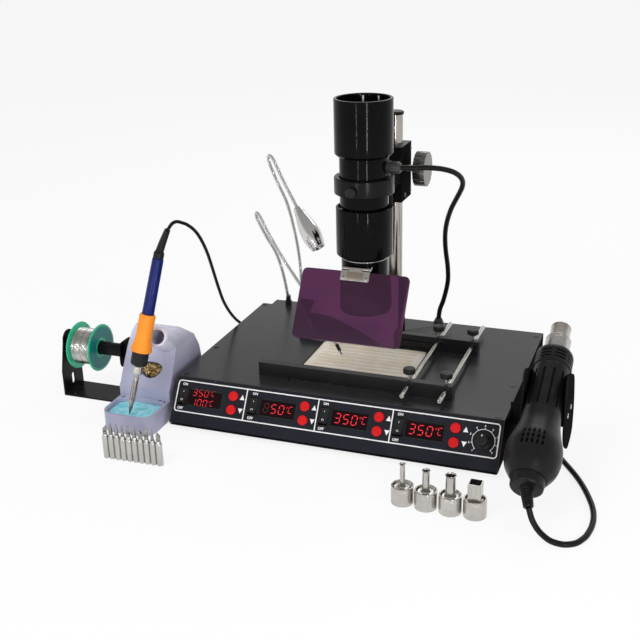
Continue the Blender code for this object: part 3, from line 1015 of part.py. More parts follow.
def build_stand(root, coats):
    left, right = STAND_LEFT, STAND_LEFT + STAND_WIDTH
    span = HOOD_REAR - HOOD_FRONT
    outline = [(HOOD_FRONT + a * span, b * HOOD_HEIGHT) for a, b in HOOD_PROFILE_SHARES]
    hood = place(prism(outline, left, right, "X"), "stand_body", root, coats["stand"])
    # Seen from the front, the hood's shoulders curve inwards to its crown
    rise = HOOD_HEIGHT + OVERRUN - HOOD_SHOULDER_START
    shoulder = [(HOOD_SHOULDER * (k / 6) ** 3, HOOD_SHOULDER_START + rise * sin(pi / 2 * k / 6))
                for k in range(7)]
    front_view = [(right + OVERRUN, -OVERRUN), (right + OVERRUN, HOOD_SHOULDER_START - OVERRUN)]
    front_view += [(right - inset, z) for inset, z in shoulder]
    front_view += [(left + inset, z) for inset, z in reversed(shoulder)]
    front_view += [(left - OVERRUN, HOOD_SHOULDER_START - OVERRUN), (left - OVERRUN, -OVERRUN)]
    boolean(hood, place(prism(front_view, HOOD_FRONT - OVERRUN, HOOD_REAR + OVERRUN, "Y"), "keep_hood", root,
                        helper=True), "INTERSECT")
    corner = TRAY_CORNER
    tray = rounded(left + EDGE, TRAY_FRONT, right - EDGE, HOOD_FRONT + corner * 2, corner)
    fuse(hood, "tray", prism(tray, 0, TRAY_HEIGHT))
    mouth = Vector(FUNNEL_MOUTH)
    direction = Vector(FUNNEL_DIRECTION).normalized()
    turn = axis_turn(direction)
    cone = ((0, -FUNNEL_LENGTH), (FUNNEL_BASE_RADIUS, -FUNNEL_LENGTH), (FUNNEL_MOUTH_RADIUS + EDGE, -EDGE * 3),
            (FUNNEL_MOUTH_RADIUS - EDGE, 0), (0, 0))
    fuse(hood, "funnel", turned(cone, 24, turn, mouth))
    cut(hood, "funnel_bore", cylinder(FUNNEL_BORE_RADIUS, -FUNNEL_BORE_DEPTH, OVERRUN, 20, turn, mouth))
    wall = TRAY_WALL
    well = (left + EDGE + wall, TRAY_FRONT + wall, right - EDGE - wall, HOOD_FRONT - wall)
    cut(hood, "tray_well", prism(rounded(*well, corner - wall), TRAY_FLOOR, TRAY_HEIGHT + OVERRUN))
    pad = (well[0] + GAP, well[1] + GAP, well[2] - GAP, well[3] - GAP)
    sponge = place(prism(rounded(*pad, corner - wall - GAP), TRAY_FLOOR + GAP, TRAY_FLOOR + GAP + SPONGE_RISE),
                   "sponge", root, coats["sponge"])
    soften(sponge, EDGE)

    # The wool's pocket runs square into the hood's sloping face
    a, b = outline[2], outline[3]
    slope = Vector((0, b[0] - a[0], b[1] - a[1])).normalized()
    out = Vector((0, -slope.z, slope.y))
    spot = Vector((WOOL_X, a[0] + (WOOL_Z - a[1]) * slope.y / slope.z, WOOL_Z))
    turn = Matrix((Vector((1, 0, 0)), slope, out)).transposed()

    def bean(gap):
        points = []
        for k in range(20):
            angle = 2 * pi * k / 20
            dip = 0.16 * WOOL_HEIGHT * cos(angle) ** 2
            points.append(((WOOL_WIDTH / 2 - gap) * cos(angle), (WOOL_HEIGHT / 2 - gap) * sin(angle) + dip))
        return points

    pocket = prism(bean(0), -WOOL_DEPTH, WOOL_DEPTH)
    bmesh.ops.transform(pocket, matrix=Matrix.Translation(spot) @ turn.to_4x4(), verts=pocket.verts)
    cut(hood, "wool_pocket", pocket)
    wool = prism(bean(GAP), -WOOL_DEPTH + GAP, -WOOL_DEPTH / 8)
    bmesh.ops.transform(wool, matrix=Matrix.Translation(spot) @ turn.to_4x4(), verts=wool.verts)
    place(wool, "brass_wool", root, coats["brass"])


def build_iron(root, coats):
    # The iron leaves its ring forwards, to the left and upwards, away from its cable
    away, lean = axis_turn(IRON_LIFT_DIRECTION), axis_turn(IRON_DIRECTION)
    lift = empty("joint_iron_lift", root, IRON_TIP, away, (0, IRON_LIFT))
    slide = empty("iron_frame", lift, turn=away.transposed() @ lean)
    core = GRIP_RADIUS * 0.62
    tip = ((0, 0), (TIP_RADIUS * 0.2, 0), (TIP_RADIUS, TIP_LENGTH * 0.8), (TIP_RADIUS, TIP_LENGTH),
           (IRON_BARREL_RADIUS, TIP_LENGTH), (IRON_BARREL_RADIUS, IRON_NUT_START),
           (IRON_NUT_RADIUS, IRON_NUT_START), (IRON_NUT_RADIUS, IRON_RIB_START - GAP), (0, IRON_RIB_START - GAP))
    place(turned(tip, 14), "iron_barrel", slide, coats["steel"])
    rib = IRON_RIB_RADIUS
    handle = ((0, IRON_RIB_START), (rib * 0.82, IRON_RIB_START), (rib, IRON_RIB_START + EDGE * 2),
              (rib, GRIP_START - GAP), (core, GRIP_START - GAP), (core, GRIP_END + GAP),
              (HANDLE_RADIUS + EDGE, GRIP_END + GAP), (HANDLE_RADIUS, HANDLE_END),
              (HANDLE_RADIUS * 0.95, HANDLE_END + EDGE), (BOOT_RADIUS, BOOT_COLLAR_END), (0, BOOT_COLLAR_END))
    iron = place(turned(handle, 16), "iron_handle", slide, coats["blue"])
    # The soft boot bends over to where the cable comes out, and narrows on its way
    inward = (Matrix.Translation(IRON_TIP) @ lean.to_4x4()).inverted()
    cable_start, cable_next = [Vector(point) for point in IRON_CABLE_ROUTE[:2]]
    boot_end = cable_start - (cable_next - cable_start).normalized() * GAP
    boot = [Vector((0, 0, BOOT_COLLAR_END - EDGE)), inward @ Vector(BOOT_MIDDLE), inward @ boot_end]
    bend = smooth_route(boot, BOOT_RADIUS)
    taper = [BOOT_RADIUS * (0.86 - 0.26 * k / (len(bend) - 1)) for k in range(len(bend))]
    fuse(iron, "iron_boot", sweep(bend, taper, 12))
    flutes = bmesh.new()
    for k in range(8):
        turn = Matrix.Rotation(2 * pi * k / 8, 3, "Z")
        cylinder(rib * 0.14, IRON_RIB_START - OVERRUN, GRIP_START - OVERRUN, 6,
                 centre=turn @ Vector((rib * 1.04, 0, 0)), bm=flutes)
    cut(iron, "iron_flutes", flutes)
    inner = core + GAP
    grip_length = GRIP_END - GRIP_START
    grip = ((inner, GRIP_START), (GRIP_FLANGE_RADIUS * 0.94, GRIP_START), (GRIP_FLANGE_RADIUS, GRIP_START + grip_length * 0.08),
            (GRIP_RADIUS, GRIP_START + grip_length * 0.30), (GRIP_RADIUS, GRIP_END - EDGE * 2),
            (GRIP_RADIUS - EDGE * 2, GRIP_END), (inner, GRIP_END))
    place(turned(grip, 16, closed=True), "iron_grip", slide, coats["orange"])


def build_reel(root, coats):
    front = REEL_Y - BRACKET_DEPTH / 2
    rear = REEL_Y + BRACKET_DEPTH / 2
    right = STAND_LEFT - GAP
    bracket = place(box((REEL_LEFT, front, 0), (right, rear, BRACKET_SHEET)), "reel_bracket", root, coats["black_metal"])
    crown = UPRIGHT_TOP_DEPTH / 2
    outline = [(front, BRACKET_SHEET / 2), (rear, BRACKET_SHEET / 2), (rear, UPRIGHT_HEIGHT * 0.4)]
    outline += [(REEL_Y + crown * cos(pi * k / 8), UPRIGHT_HEIGHT - crown + crown * sin(pi * k / 8))
                for k in range(9)]
    outline += [(front, UPRIGHT_HEIGHT * 0.4)]
    fuse(bracket, "upright", prism(outline, REEL_LEFT, REEL_LEFT + BRACKET_SHEET, "X"))
    slot = rounded(REEL_Y - UPRIGHT_SLOT_WIDTH / 2, UPRIGHT_SLOT_Z - UPRIGHT_SLOT_LENGTH / 2,
                   REEL_Y + UPRIGHT_SLOT_WIDTH / 2, UPRIGHT_SLOT_Z + UPRIGHT_SLOT_LENGTH / 2,
                   UPRIGHT_SLOT_WIDTH / 2 - EDGE)
    cut(bracket, "slot", prism(slot, REEL_LEFT - OVERRUN, REEL_LEFT + BRACKET_SHEET + OVERRUN, "X"))
    fuse(bracket, "spindle", cylinder(SPINDLE_RADIUS, REEL_LEFT + BRACKET_SHEET / 2, right, 24, ALONG_X,
                                      (0, REEL_Y, REEL_Z)))
    fuse(bracket, "lug", prism(rounded(REEL_Y - LUG_RADIUS, REEL_Z - LUG_RADIUS * 1.2, REEL_Y + LUG_RADIUS,
                                       REEL_Z + LUG_RADIUS, LUG_RADIUS / 2),
                               LUG_X, LUG_X + BRACKET_SHEET, "X"))

    spin = empty("joint_spool_spin", root, (SPOOL_LEFT, REEL_Y, REEL_Z), ALONG_X)
    bore = SPINDLE_RADIUS + SPOOL_BORE_GAP
    end = SPOOL_LENGTH
    thick = FLANGE_THICKNESS
    spool = ((bore, 0), (FLANGE_RADIUS - EDGE, 0), (FLANGE_RADIUS, EDGE), (FLANGE_RADIUS, thick), (HUB_RADIUS, thick),
             (HUB_RADIUS, end - thick), (FLANGE_RADIUS, end - thick), (FLANGE_RADIUS, end - EDGE),
             (FLANGE_RADIUS - EDGE, end), (bore, end))
    place(turned(spool, 24, closed=True), "solder_spool", spin, coats["green"])
    wire = ((HUB_RADIUS + GAP, thick + GAP), (WINDING_RADIUS, thick + GAP), (WINDING_RADIUS, end - thick - GAP),
            (HUB_RADIUS + GAP, end - thick - GAP))
    place(turned(wire, 24, closed=True), "solder_wire", spin, coats["solder"])


def build_tips_and_nozzles(root, coats):
    x0, y0 = TIP_ROW_START
    sides = 6
    tips = None
    for k, share in enumerate(TIP_POINT_SHARES[:TIP_COUNT]):
        centre = (x0 + k * TIP_PITCH, y0 + k * TIP_PITCH * TIP_ROW_SLOPE, 0)
        radius = TIP_SLEEVE_RADIUS / cos(pi / sides)
        profile = ((0, 0), (radius, 0), (radius, TIP_SLEEVE_HEIGHT), (radius * 0.62, TIP_NECK_HEIGHT),
                   (radius * share, TIP_POINT_HEIGHT), (0, TIP_POINT_HEIGHT))
        bm = turned(profile, sides, centre=centre)
        if tips is None:
            tips = place(bm, "spare_tips", root, coats["nickel"])
        else:
            fuse(tips, f"tip_{k + 1}", bm)

    for k, ((x, y), height) in enumerate(zip(NOZZLE_CENTRES, NOZZLE_HEIGHTS)):
        wall = NOZZLE_WALL
        rim = NOZZLE_RADIUS
        deck = NOZZLE_COLLAR_HEIGHT - NOZZLE_RECESS
        skirt = ((rim - wall, 0), (rim, 0), (rim, NOZZLE_COLLAR_HEIGHT), (rim - wall, NOZZLE_COLLAR_HEIGHT),
                 (rim - wall, deck))
        if k < len(NOZZLE_TUBE_RADII):
            out = NOZZLE_TUBE_RADII[k]
            flare = NOZZLE_FLARE
            profile = skirt + ((out, deck), (out, height - flare * 2), (out + flare, height),
                               (out + flare - wall * 0.6, height), (out - wall * 0.6, height - flare * 2),
                               (out - wall * 0.6, deck - wall), (rim - wall, deck - wall))
            place(turned(profile, 16, centre=(x, y, 0), closed=True), f"nozzle_{k + 1}", root, coats["nickel"])
        else:
            side = NOZZLE_SQUARE / 2
            profile = skirt + ((0, deck), (0, deck - wall), (rim - wall, deck - wall))
            nozzle = place(turned(profile, 16, centre=(x, y, 0), closed=True), f"nozzle_{k + 1}", root,
                           coats["nickel"])
            fuse(nozzle, "square_tube", box((x - side, y - side, deck - wall / 2), (x + side, y + side, height)))
            cut(nozzle, "square_bore", box((x - side + wall, y - side + wall, deck - wall - OVERRUN),
                                           (x + side - wall, y + side - wall, height + OVERRUN)))


def gun_radius(along):
    """The gun body's radius at a length along its axis."""
    for (a, first), (b, second) in zip(GUN_PROFILE, GUN_PROFILE[1:]):
        if a <= along <= b:
            return first + (second - first) * (along - a) / (b - a)
    return GUN_PROFILE[-1][1]


def build_gun(root, coats):
    # The gun's frame has Z along the axis towards the outlet, and -Y square to it, upwards
    turn = Matrix.Rotation(GUN_RISE - pi / 2, 3, "X")
    frame = empty("gun_frame", root, GUN_CAP, turn)
    lift = empty("joint_gun_lift", frame, travel=(0, GUN_LIFT))
    shell = [(0, 0)] + [(radius, along) for along, radius in GUN_PROFILE]
    inner = GUN_BARREL_BASE + GAP
    shell += [(inner, GUN_BODY_END), (inner, GUN_BODY_END - GUN_WALL * 3), (0, GUN_BODY_END - GUN_WALL * 3)]
    body = place(turned(shell, 20), "gun_body", lift, coats["gun"])
    grooves = bmesh.new()
    depth = gun_radius((GUN_GROOVE_START + GUN_GROOVE_END) / 2) - GUN_GROOVE_DEPTH
    for k in range(GUN_GROOVES):
        spin = Matrix.Rotation(2 * pi * (k + 0.5) / GUN_GROOVES, 4, "Z")
        add_box(grooves, (-GUN_GROOVE_WIDTH / 2, depth, GUN_GROOVE_START),
                (GUN_GROOVE_WIDTH / 2, depth + OVERRUN * 2, GUN_GROOVE_END), spin)
    cut(body, "grip_grooves", grooves)
    # The soft boot hangs from the cap to where the cable comes out
    reach = turn.inverted() @ (Vector(GUN_CABLE_ROUTE[0]) - Vector(GUN_CAP))
    end = reach.length - GAP
    boot = ((0, -GUN_WALL), (GUN_BOOT_RADIUS, -GUN_WALL), (GUN_BOOT_RADIUS * 0.78, end), (0, end))
    fuse(body, "gun_boot", turned(boot, 16, axis_turn(reach, (0, 1, 0))))

    wide, slim = GUN_BARREL_BASE, GUN_BARREL_RADIUS
    wall = GUN_BARREL_WALL
    barrel = ((wide, GUN_BODY_END - GUN_WALL * 3 + GAP), (wide, GUN_BARREL_STEP), (slim, GUN_BARREL_STEP + wall * 2),
              (slim, GUN_BARREL_END), (slim - wall, GUN_BARREL_END), (slim - wall, GUN_BARREL_STEP + wall),
              (wide - wall, GUN_BARREL_STEP - wall), (wide - wall, GUN_BODY_END - GUN_WALL * 3 + GAP))
    place(turned(barrel, 20, closed=True), "gun_barrel", lift, coats["steel"])

    cut_vents(body)
    build_holder(root, coats, Matrix.Translation(GUN_CAP) @ turn.to_4x4())


def cut_vents(body):
    """The air inlet's grid of slots, on the side of the bulge that faces up."""
    slots = bmesh.new()
    radius = gun_radius(GUN_VENT_CENTRE)
    for row in range(GUN_VENT_ROWS):
        along = GUN_VENT_CENTRE + (row - (GUN_VENT_ROWS - 1) / 2) * GUN_VENT_PITCH
        for column in range(GUN_VENT_COLUMNS):
            turn = Matrix.Rotation((column - (GUN_VENT_COLUMNS - 1) / 2) * GUN_VENT_PITCH / radius, 4, "Z")
            add_box(slots, (-GUN_VENT_LENGTH / 2, -radius - OVERRUN, along - GUN_VENT_WIDTH / 2),
                    (GUN_VENT_LENGTH / 2, -radius + GUN_VENT_DEPTH, along + GUN_VENT_WIDTH / 2), turn)
    cut(body, "air_inlet", slots)


def build_holder(root, coats, gun_place):
    """Two upright ears beside the gun, a sloping rest beneath it and a spacer to the unit's side."""
    x = GUN_CAP[0]
    half_sheet = HOLDER_SHEET / 2
    outline = eased(HOLDER_EAR, HOLDER_EAR_CORNER)
    holder = place(prism(outline, x - HOLDER_HALF - half_sheet, x - HOLDER_HALF + half_sheet, "X"),
                   "gun_holder", root, coats["black_metal"])
    fuse(holder, "right_ear", prism(outline, x + HOLDER_HALF - half_sheet, x + HOLDER_HALF + half_sheet, "X"))
    under = max(gun_radius(HOLDER_REST_START), gun_radius(HOLDER_REST_END)) + GAP
    rest = box((-HOLDER_HALF, under, HOLDER_REST_START), (HOLDER_HALF, under + HOLDER_SHEET, HOLDER_REST_END))
    bmesh.ops.transform(rest, matrix=gun_place, verts=rest.verts)
    fuse(holder, "rest", rest)
    side = UNIT_WIDTH / 2 + GAP
    fuse(holder, "spacer", box((side, SPACER_Y, SPACER_LOW), (x - HOLDER_HALF, SPACER_Y + HOLDER_SHEET, SPACER_HIGH)))
    fuse(holder, "spacer_foot", box((side, SPACER_Y - SPACER_FOOT, SPACER_LOW),
                                    (side + HOLDER_SHEET, SPACER_Y + half_sheet, UNIT_HEIGHT - half_sheet)))


def make_coats():
    return {
        "case": material("case paint", (0.030, 0.030, 0.033), 0.35, 0.3),
        "panel": material("panel film", (0.022, 0.024, 0.034), 0.5),
        "board": material("board green", (0.02, 0.12, 0.05), 0.6),
        "gloss_black": material("gloss black", (0.006, 0.006, 0.007), 0.15),
        "black_metal": material("black metal", (0.014, 0.014, 0.015), 0.35, 0.4),
        "red": material("button red", (0.62, 0.015, 0.012), 0.4),
        "knob": material("knob black", (0.012, 0.012, 0.013), 0.45),
        "ceramic": material("heater ceramic", (0.72, 0.66, 0.53), 0.7),
        "chrome": material("chrome", (0.78, 0.77, 0.75), 0.12, 1.0),
        "steel": material("steel", (0.62, 0.61, 0.59), 0.3, 1.0),
        "gunmetal": material("gunmetal", (0.10, 0.095, 0.09), 0.35, 0.9),
        "bulb": material("bulb glass", (0.35, 0.06, 0.04), 0.1),
        "filter": material("filter glass", (0.16, 0.02, 0.08), 0.05, alpha=0.75),
        "stand": material("stand plastic", (0.42, 0.42, 0.55), 0.45),
        "sponge": material("sponge cyan", (0.25, 0.72, 0.83), 0.95),
        "brass": material("brass wool", (0.52, 0.37, 0.14), 0.35, 0.9),
        "blue": material("handle blue", (0.012, 0.030, 0.19), 0.35),
        "orange": material("grip orange", (0.95, 0.33, 0.02), 0.6),
        "green": material("spool green", (0.03, 0.55, 0.30), 0.35),
        "solder": material("solder wire", (0.66, 0.65, 0.63), 0.3, 1.0),
        "nickel": material("nickel", (0.68, 0.66, 0.63), 0.3, 1.0),
        "gun": material("gun black", (0.018, 0.018, 0.020), 0.4),
        "cable": material("cable black", (0.012, 0.012, 0.013), 0.5),
    }


def centre_on_floor(root, loose):
    """Moves the root so that the part's origin is the bottom centre of all but the cables."""
    bpy.context.view_layer.update()
    graph = bpy.context.evaluated_depsgraph_get()
    low, high = Vector((1e9,) * 3), Vector((-1e9,) * 3)
    for made in bpy.data.objects:
        if made.type != "MESH" or made.hide_render or made in loose:
            continue
        solid = made.evaluated_get(graph)
        for vertex in solid.data.vertices:
            point = solid.matrix_world @ vertex.co
            low = Vector(map(min, low, point))
            high = Vector(map(max, high, point))
    root.location = (-(low.x + high.x) / 2, -(low.y + high.y) / 2, -low.z)
    bpy.context.view_layer.update()


def main():
    clear_scene()
    coats = make_coats()
    root = empty("rework_station")
    build_main_unit(root, coats)
    build_panel(root, coats)
    build_board_holder(root, coats)
    rack_line = build_column(root, coats)
    build_lamp(root, coats, rack_line)
    build_goosenecks(root, coats)
    build_stand(root, coats)
    build_iron(root, coats)
    build_reel(root, coats)
    build_tips_and_nozzles(root, coats)
    build_gun(root, coats)
    cables = [cord("lamp_cable", LAMP_CABLE_ROUTE, LAMP_CABLE_RADIUS, root, coats["cable"]),
              cord("iron_cable", IRON_CABLE_ROUTE, IRON_CABLE_RADIUS, root, coats["cable"]),
              cord("gun_cable", GUN_CABLE_ROUTE, GUN_CABLE_RADIUS, root, coats["cable"])]
    centre_on_floor(root, cables)


main()
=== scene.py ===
import json
from math import atan2, cos, hypot, pi, radians, sin, tan
from random import Random

import bmesh
import bpy
from mathutils import Matrix, Vector

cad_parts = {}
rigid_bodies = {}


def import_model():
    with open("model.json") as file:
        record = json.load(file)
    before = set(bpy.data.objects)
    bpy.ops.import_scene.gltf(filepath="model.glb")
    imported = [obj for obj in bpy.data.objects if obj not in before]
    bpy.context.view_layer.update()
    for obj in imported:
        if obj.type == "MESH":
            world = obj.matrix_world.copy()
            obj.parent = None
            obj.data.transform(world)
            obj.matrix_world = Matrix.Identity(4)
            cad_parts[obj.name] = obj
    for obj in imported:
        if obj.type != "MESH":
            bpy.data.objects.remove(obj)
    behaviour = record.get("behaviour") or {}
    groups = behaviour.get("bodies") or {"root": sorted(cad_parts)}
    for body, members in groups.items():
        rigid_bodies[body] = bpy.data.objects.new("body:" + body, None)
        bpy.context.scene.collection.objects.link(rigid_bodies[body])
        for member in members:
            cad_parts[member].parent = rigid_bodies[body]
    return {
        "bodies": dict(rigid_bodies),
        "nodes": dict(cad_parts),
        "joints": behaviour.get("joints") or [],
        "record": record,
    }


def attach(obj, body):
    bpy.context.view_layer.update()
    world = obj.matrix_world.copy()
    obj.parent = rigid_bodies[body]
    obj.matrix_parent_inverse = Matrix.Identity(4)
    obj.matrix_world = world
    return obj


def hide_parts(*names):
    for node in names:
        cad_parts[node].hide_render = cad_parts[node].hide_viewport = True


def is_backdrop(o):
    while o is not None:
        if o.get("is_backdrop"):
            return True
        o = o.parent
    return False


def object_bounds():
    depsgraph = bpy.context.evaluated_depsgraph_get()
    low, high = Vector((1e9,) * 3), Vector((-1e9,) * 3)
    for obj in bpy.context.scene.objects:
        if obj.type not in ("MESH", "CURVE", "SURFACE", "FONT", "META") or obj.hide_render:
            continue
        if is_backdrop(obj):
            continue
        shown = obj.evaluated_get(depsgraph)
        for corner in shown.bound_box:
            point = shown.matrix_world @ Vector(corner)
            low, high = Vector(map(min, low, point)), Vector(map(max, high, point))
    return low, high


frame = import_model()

cadLow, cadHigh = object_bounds()
nodes = frame["nodes"]
scene = bpy.context.scene
print("frame loaded:", len(nodes), "nodes")


# placing

shift = Matrix.Translation
desk = shift((0.051175, -0.075521, 0.0))   # from the builder's own origin, in which all sizes below are given


def spin(angle, axis):
    return Matrix.Rotation(angle, 4, axis)


def along(direction, place=(0, 0, 0), roll=(0, 0, 1)):
    # a frame whose z runs along the direction
    z = Vector(direction).normalized()
    x = Vector(roll).cross(z)
    x = x.normalized() if x.length > 0.01 else Vector((1, 0, 0))
    return shift(place) @ Matrix((x, z.cross(x), z)).transposed().to_4x4()


def addObject(name, data):
    made = bpy.data.objects.new(name, data)
    scene.collection.objects.link(made)
    return made


def evaluated(made):
    # a plain mesh of the object with its modifiers applied
    return bpy.data.meshes.new_from_object(made.evaluated_get(bpy.context.evaluated_depsgraph_get()))


# camera

view = {"place": (0.36283, -0.98219, 0.55858), "yaw": 20.93, "pitch": 21.42, "roll": -1.52, "lens": 58.104,
        "sensor": 36, "near": 0.05, "far": 60}


def makeCamera(look):
    data = bpy.data.cameras.new("camera")
    data.lens, data.sensor_width = look["lens"], look["sensor"]
    data.clip_start, data.clip_end = look["near"], look["far"]
    made = addObject("camera", data)
    turn = spin(radians(look["yaw"]), "Z") @ spin(radians(90 - look["pitch"]), "X")
    turn = turn @ spin(radians(look["roll"]), "Z")
    made.matrix_world = desk @ shift(look["place"]) @ turn
    scene.camera = made


makeCamera(view)


# shader building

class Wire:
    # a socket with arithmetic
    def __init__(self, tree, socket):
        self.tree, self.socket = tree, socket

    def maths(self, operation, first, second):
        node = self.tree.nodes.new("ShaderNodeMath")
        node.operation = operation
        for slot, value in zip(node.inputs, (first, second)):
            plug(self.tree, slot, value)
        return Wire(self.tree, node.outputs[0])

    def __add__(self, other):
        return self.maths("ADD", self, other)

    def __radd__(self, other):
        return self.maths("ADD", other, self)

    def __sub__(self, other):
        return self.maths("SUBTRACT", self, other)

    def __rsub__(self, other):
        return self.maths("SUBTRACT", other, self)

    def __mul__(self, other):
        return self.maths("MULTIPLY", self, other)

    def __rmul__(self, other):
        return self.maths("MULTIPLY", other, self)

    def step(self, low, high, start=0.0, end=1.0):
        # an eased change from start to end as the value goes from low to high
        node = self.tree.nodes.new("ShaderNodeMapRange")
        node.interpolation_type = "SMOOTHSTEP"
        for slot, value in zip(node.inputs, (self, low, high, start, end)):
            plug(self.tree, slot, value)
        return Wire(self.tree, node.outputs[0])


def plug(tree, socket, value):
    if isinstance(value, Wire):
        tree.links.new(value.socket, socket)
    elif hasattr(socket.default_value, "__len__") and len(socket.default_value) == 4 and len(value) == 3:
        socket.default_value = (*value, 1.0)
    else:
        socket.default_value = value


class Paint:
    def __init__(self, name):
        self.material = bpy.data.materials.new(name)
        self.material.use_nodes = True
        self.tree = self.material.node_tree
        self.shader = self.tree.nodes["Principled BSDF"]
        self.at = self.make("ShaderNodeTexCoord", output=3)

    def make(self, kind, settings=None, values=None, output=0):
        node = self.tree.nodes.new(kind)
        for key, value in (settings or {}).items():
            setattr(node, key, value)
        for key, value in (values or {}).items():
            plug(self.tree, node.inputs[key], value)
        return Wire(self.tree, node.outputs[output])

    def noise(self, at, scale, detail=2.0, rough=0.5, warp=0.0):
        return self.make("ShaderNodeTexNoise", None, {"Vector": at, "Scale": scale, "Detail": detail,
                                                      "Roughness": rough, "Distortion": warp})

    def turned(self, scale, frame=None):
        # the piece's own coordinates, centred and turned by the inverse of its placing, then stretched
        place = (frame or Matrix.Identity(4)).inverted()
        moved = self.make("ShaderNodeMapping", None, {"Vector": self.at, "Location": place.to_translation(),
                                                      "Rotation": place.to_euler()})
        return self.make("ShaderNodeVectorMath", {"operation": "MULTIPLY"}, {0: moved, 1: scale})

    def split(self, vector, part):
        return self.make("ShaderNodeSeparateXYZ", None, {0: vector}, part)

    def mix(self, share, first, second):
        return self.make("ShaderNodeMix", {"data_type": "RGBA"}, {0: share, 6: first, 7: second}, 2)

    def feed(self, **values):
        for key, value in values.items():
            plug(self.tree, self.shader.inputs[key.replace("_", " ")], value)
        return self.material

    def bump(self, height, distance, normal=None):
        values = {"Height": height, "Distance": distance, "Strength": 1.0}
        if normal:
            values["Normal"] = normal
        return self.make("ShaderNodeBump", None, values)


def lighter(colour, amount):
    return tuple(min(1.0, c * (1 + amount)) for c in colour)


def surface(name, colour, rough, metal=0.0, **more):
    # shade and patch: how much the colour changes and how finely; grain: scale and height of the fine bumps;
    # smudge: change of gloss; brush: stretch of fine lines; level: specular level; speck: share of pale dots
    look = {"shade": 0.14, "patch": 38.0, "grain": (1500.0, 0.00001), "smudge": 0.07, "brush": None,
            "wear": 0.0, "wearColour": (0.3, 0.3, 0.3), "dust": 0.0, "level": 0.5, "coat": 0.0,
            "speck": 0.0}
    look.update(more)
    made = Paint(name)
    wide = made.noise(made.at, look["patch"], 3.0, 0.55)
    fine = made.noise(made.at, look["patch"] * 17, 3.0, 0.6)
    tone = wide * 0.65 + fine * 0.35
    coloured = made.mix(tone.step(0.3, 0.7), lighter(colour, -look["shade"]), lighter(colour, look["shade"]))
    if look["speck"]:
        dots = made.noise(made.at, 2600.0, 2.0, 0.7).step(0.62, 0.70)
        coloured = made.mix(dots * look["speck"], coloured, lighter(colour, 1.2))
    roughness = rough + (made.noise(made.at, look["patch"] * 2.3, 4.0, 0.6, 0.6) - 0.5) * (look["smudge"] * 2)
    height = made.noise(made.at, look["grain"][0], 3.0, 0.6)
    normal = made.bump(height, look["grain"][1])
    if look["brush"]:
        # fine lines along one direction of the piece
        lines = made.noise(made.turned(look["brush"]), 1.0, 3.0, 0.65)
        normal = made.bump(lines, 0.000012, normal)
        roughness = roughness + (lines - 0.5) * 0.12
        coloured = made.mix(lines.step(0.35, 0.75) * 0.35, coloured, lighter(colour, 0.28))
    if look["wear"]:
        marks = made.noise(made.turned((260.0, 24.0, 90.0)), 1.0, 5.0, 0.7, 0.4).step(0.64, 0.72)
        flecks = made.noise(made.at, 420.0, 5.0, 0.75).step(0.66, 0.74)
        worn = (marks * 0.6 + flecks * 0.8) * look["wear"]
        coloured = made.mix(worn, coloured, look["wearColour"])
        roughness = roughness + worn * 0.25
    if look["dust"]:
        up = made.split(made.make("ShaderNodeNewGeometry", output=1), 2)
        lying = up.step(0.4, 1.0) * made.noise(made.at, 90.0, 5.0, 0.7).step(0.42, 0.75) * look["dust"]
        coloured = made.mix(lying, coloured, (0.34, 0.32, 0.30))
        roughness = roughness + lying * 0.4
    made.feed(Base_Color=coloured, Roughness=roughness, Metallic=metal, Normal=normal)
    made.feed(Specular_IOR_Level=look["level"], Coat_Weight=look["coat"], Coat_Roughness=0.08)
    return made.material


# mesh building

def ribbed(count, depth, low=-1.0, high=1.0):
    # for lathe: shallow ribs between two heights
    return lambda angle, height: 1 - depth * (0.5 + 0.5 * cos(count * angle)) if low < height < high else 1


def eased(points, radius, closed):
    # each corner becomes a short curve
    if not radius:
        return [tuple(p) for p in points]
    share, steps = 0.42, 3
    count, result = len(points), []
    for i, corner in enumerate(points):
        here = Vector(corner)
        if not closed and i in (0, count - 1):
            result.append(tuple(here))
            continue
        before, after = Vector(points[i - 1]) - here, Vector(points[(i + 1) % count]) - here
        if before.length < 1e-7 or after.length < 1e-7:
            result.append(tuple(here))
            continue
        start = here + before.normalized() * min(radius, share * before.length)
        end = here + after.normalized() * min(radius, share * after.length)
        for k in range(steps + 1):
            t = k / steps
            result.append(tuple(start * (1 - t) ** 2 + here * 2 * t * (1 - t) + end * t * t))
    return result


def roundedBox(lowA, lowB, highA, highB, radius, steps=6):
    points = []
    for a, b, start in ((highA - radius, highB - radius, 0), (lowA + radius, highB - radius, 1),
                        (lowA + radius, lowB + radius, 2), (highA - radius, lowB + radius, 3)):
        for i in range(steps + 1):
            angle = pi / 2 * (start + i / steps)
            points.append((a + radius * cos(angle), b + radius * sin(angle)))
    return points


def smoothRoute(route, step):
    # points about one step apart on a smooth curve through the route
    points = [Vector(p) for p in route]
    points = [2 * points[0] - points[1]] + points + [2 * points[-1] - points[-2]]
    fine, parts = [], 12
    for a, b, c, d in zip(points, points[1:], points[2:], points[3:]):
        for i in range(parts):
            t = i / parts
            fine.append(0.5 * (2 * b + (c - a) * t + (2 * a - 5 * b + 4 * c - d) * t ** 2
                               + (3 * b - a - 3 * c + d) * t ** 3))
    fine.append(points[-2])
    lengths = [0.0]
    for a, b in zip(fine, fine[1:]):
        lengths.append(lengths[-1] + (b - a).length)
    count = max(2, round(lengths[-1] / step))
    result, i = [], 0
    for k in range(count + 1):
        wanted = lengths[-1] * k / count
        while i < len(fine) - 2 and lengths[i + 1] < wanted:
            i += 1
        share = (wanted - lengths[i]) / (lengths[i + 1] - lengths[i])
        result.append(fine[i].lerp(fine[i + 1], share))
    return result


meshing = {"merge": 0.000004, "touching": 1e-7, "flat": 0.6, "bevelFrom": 33}


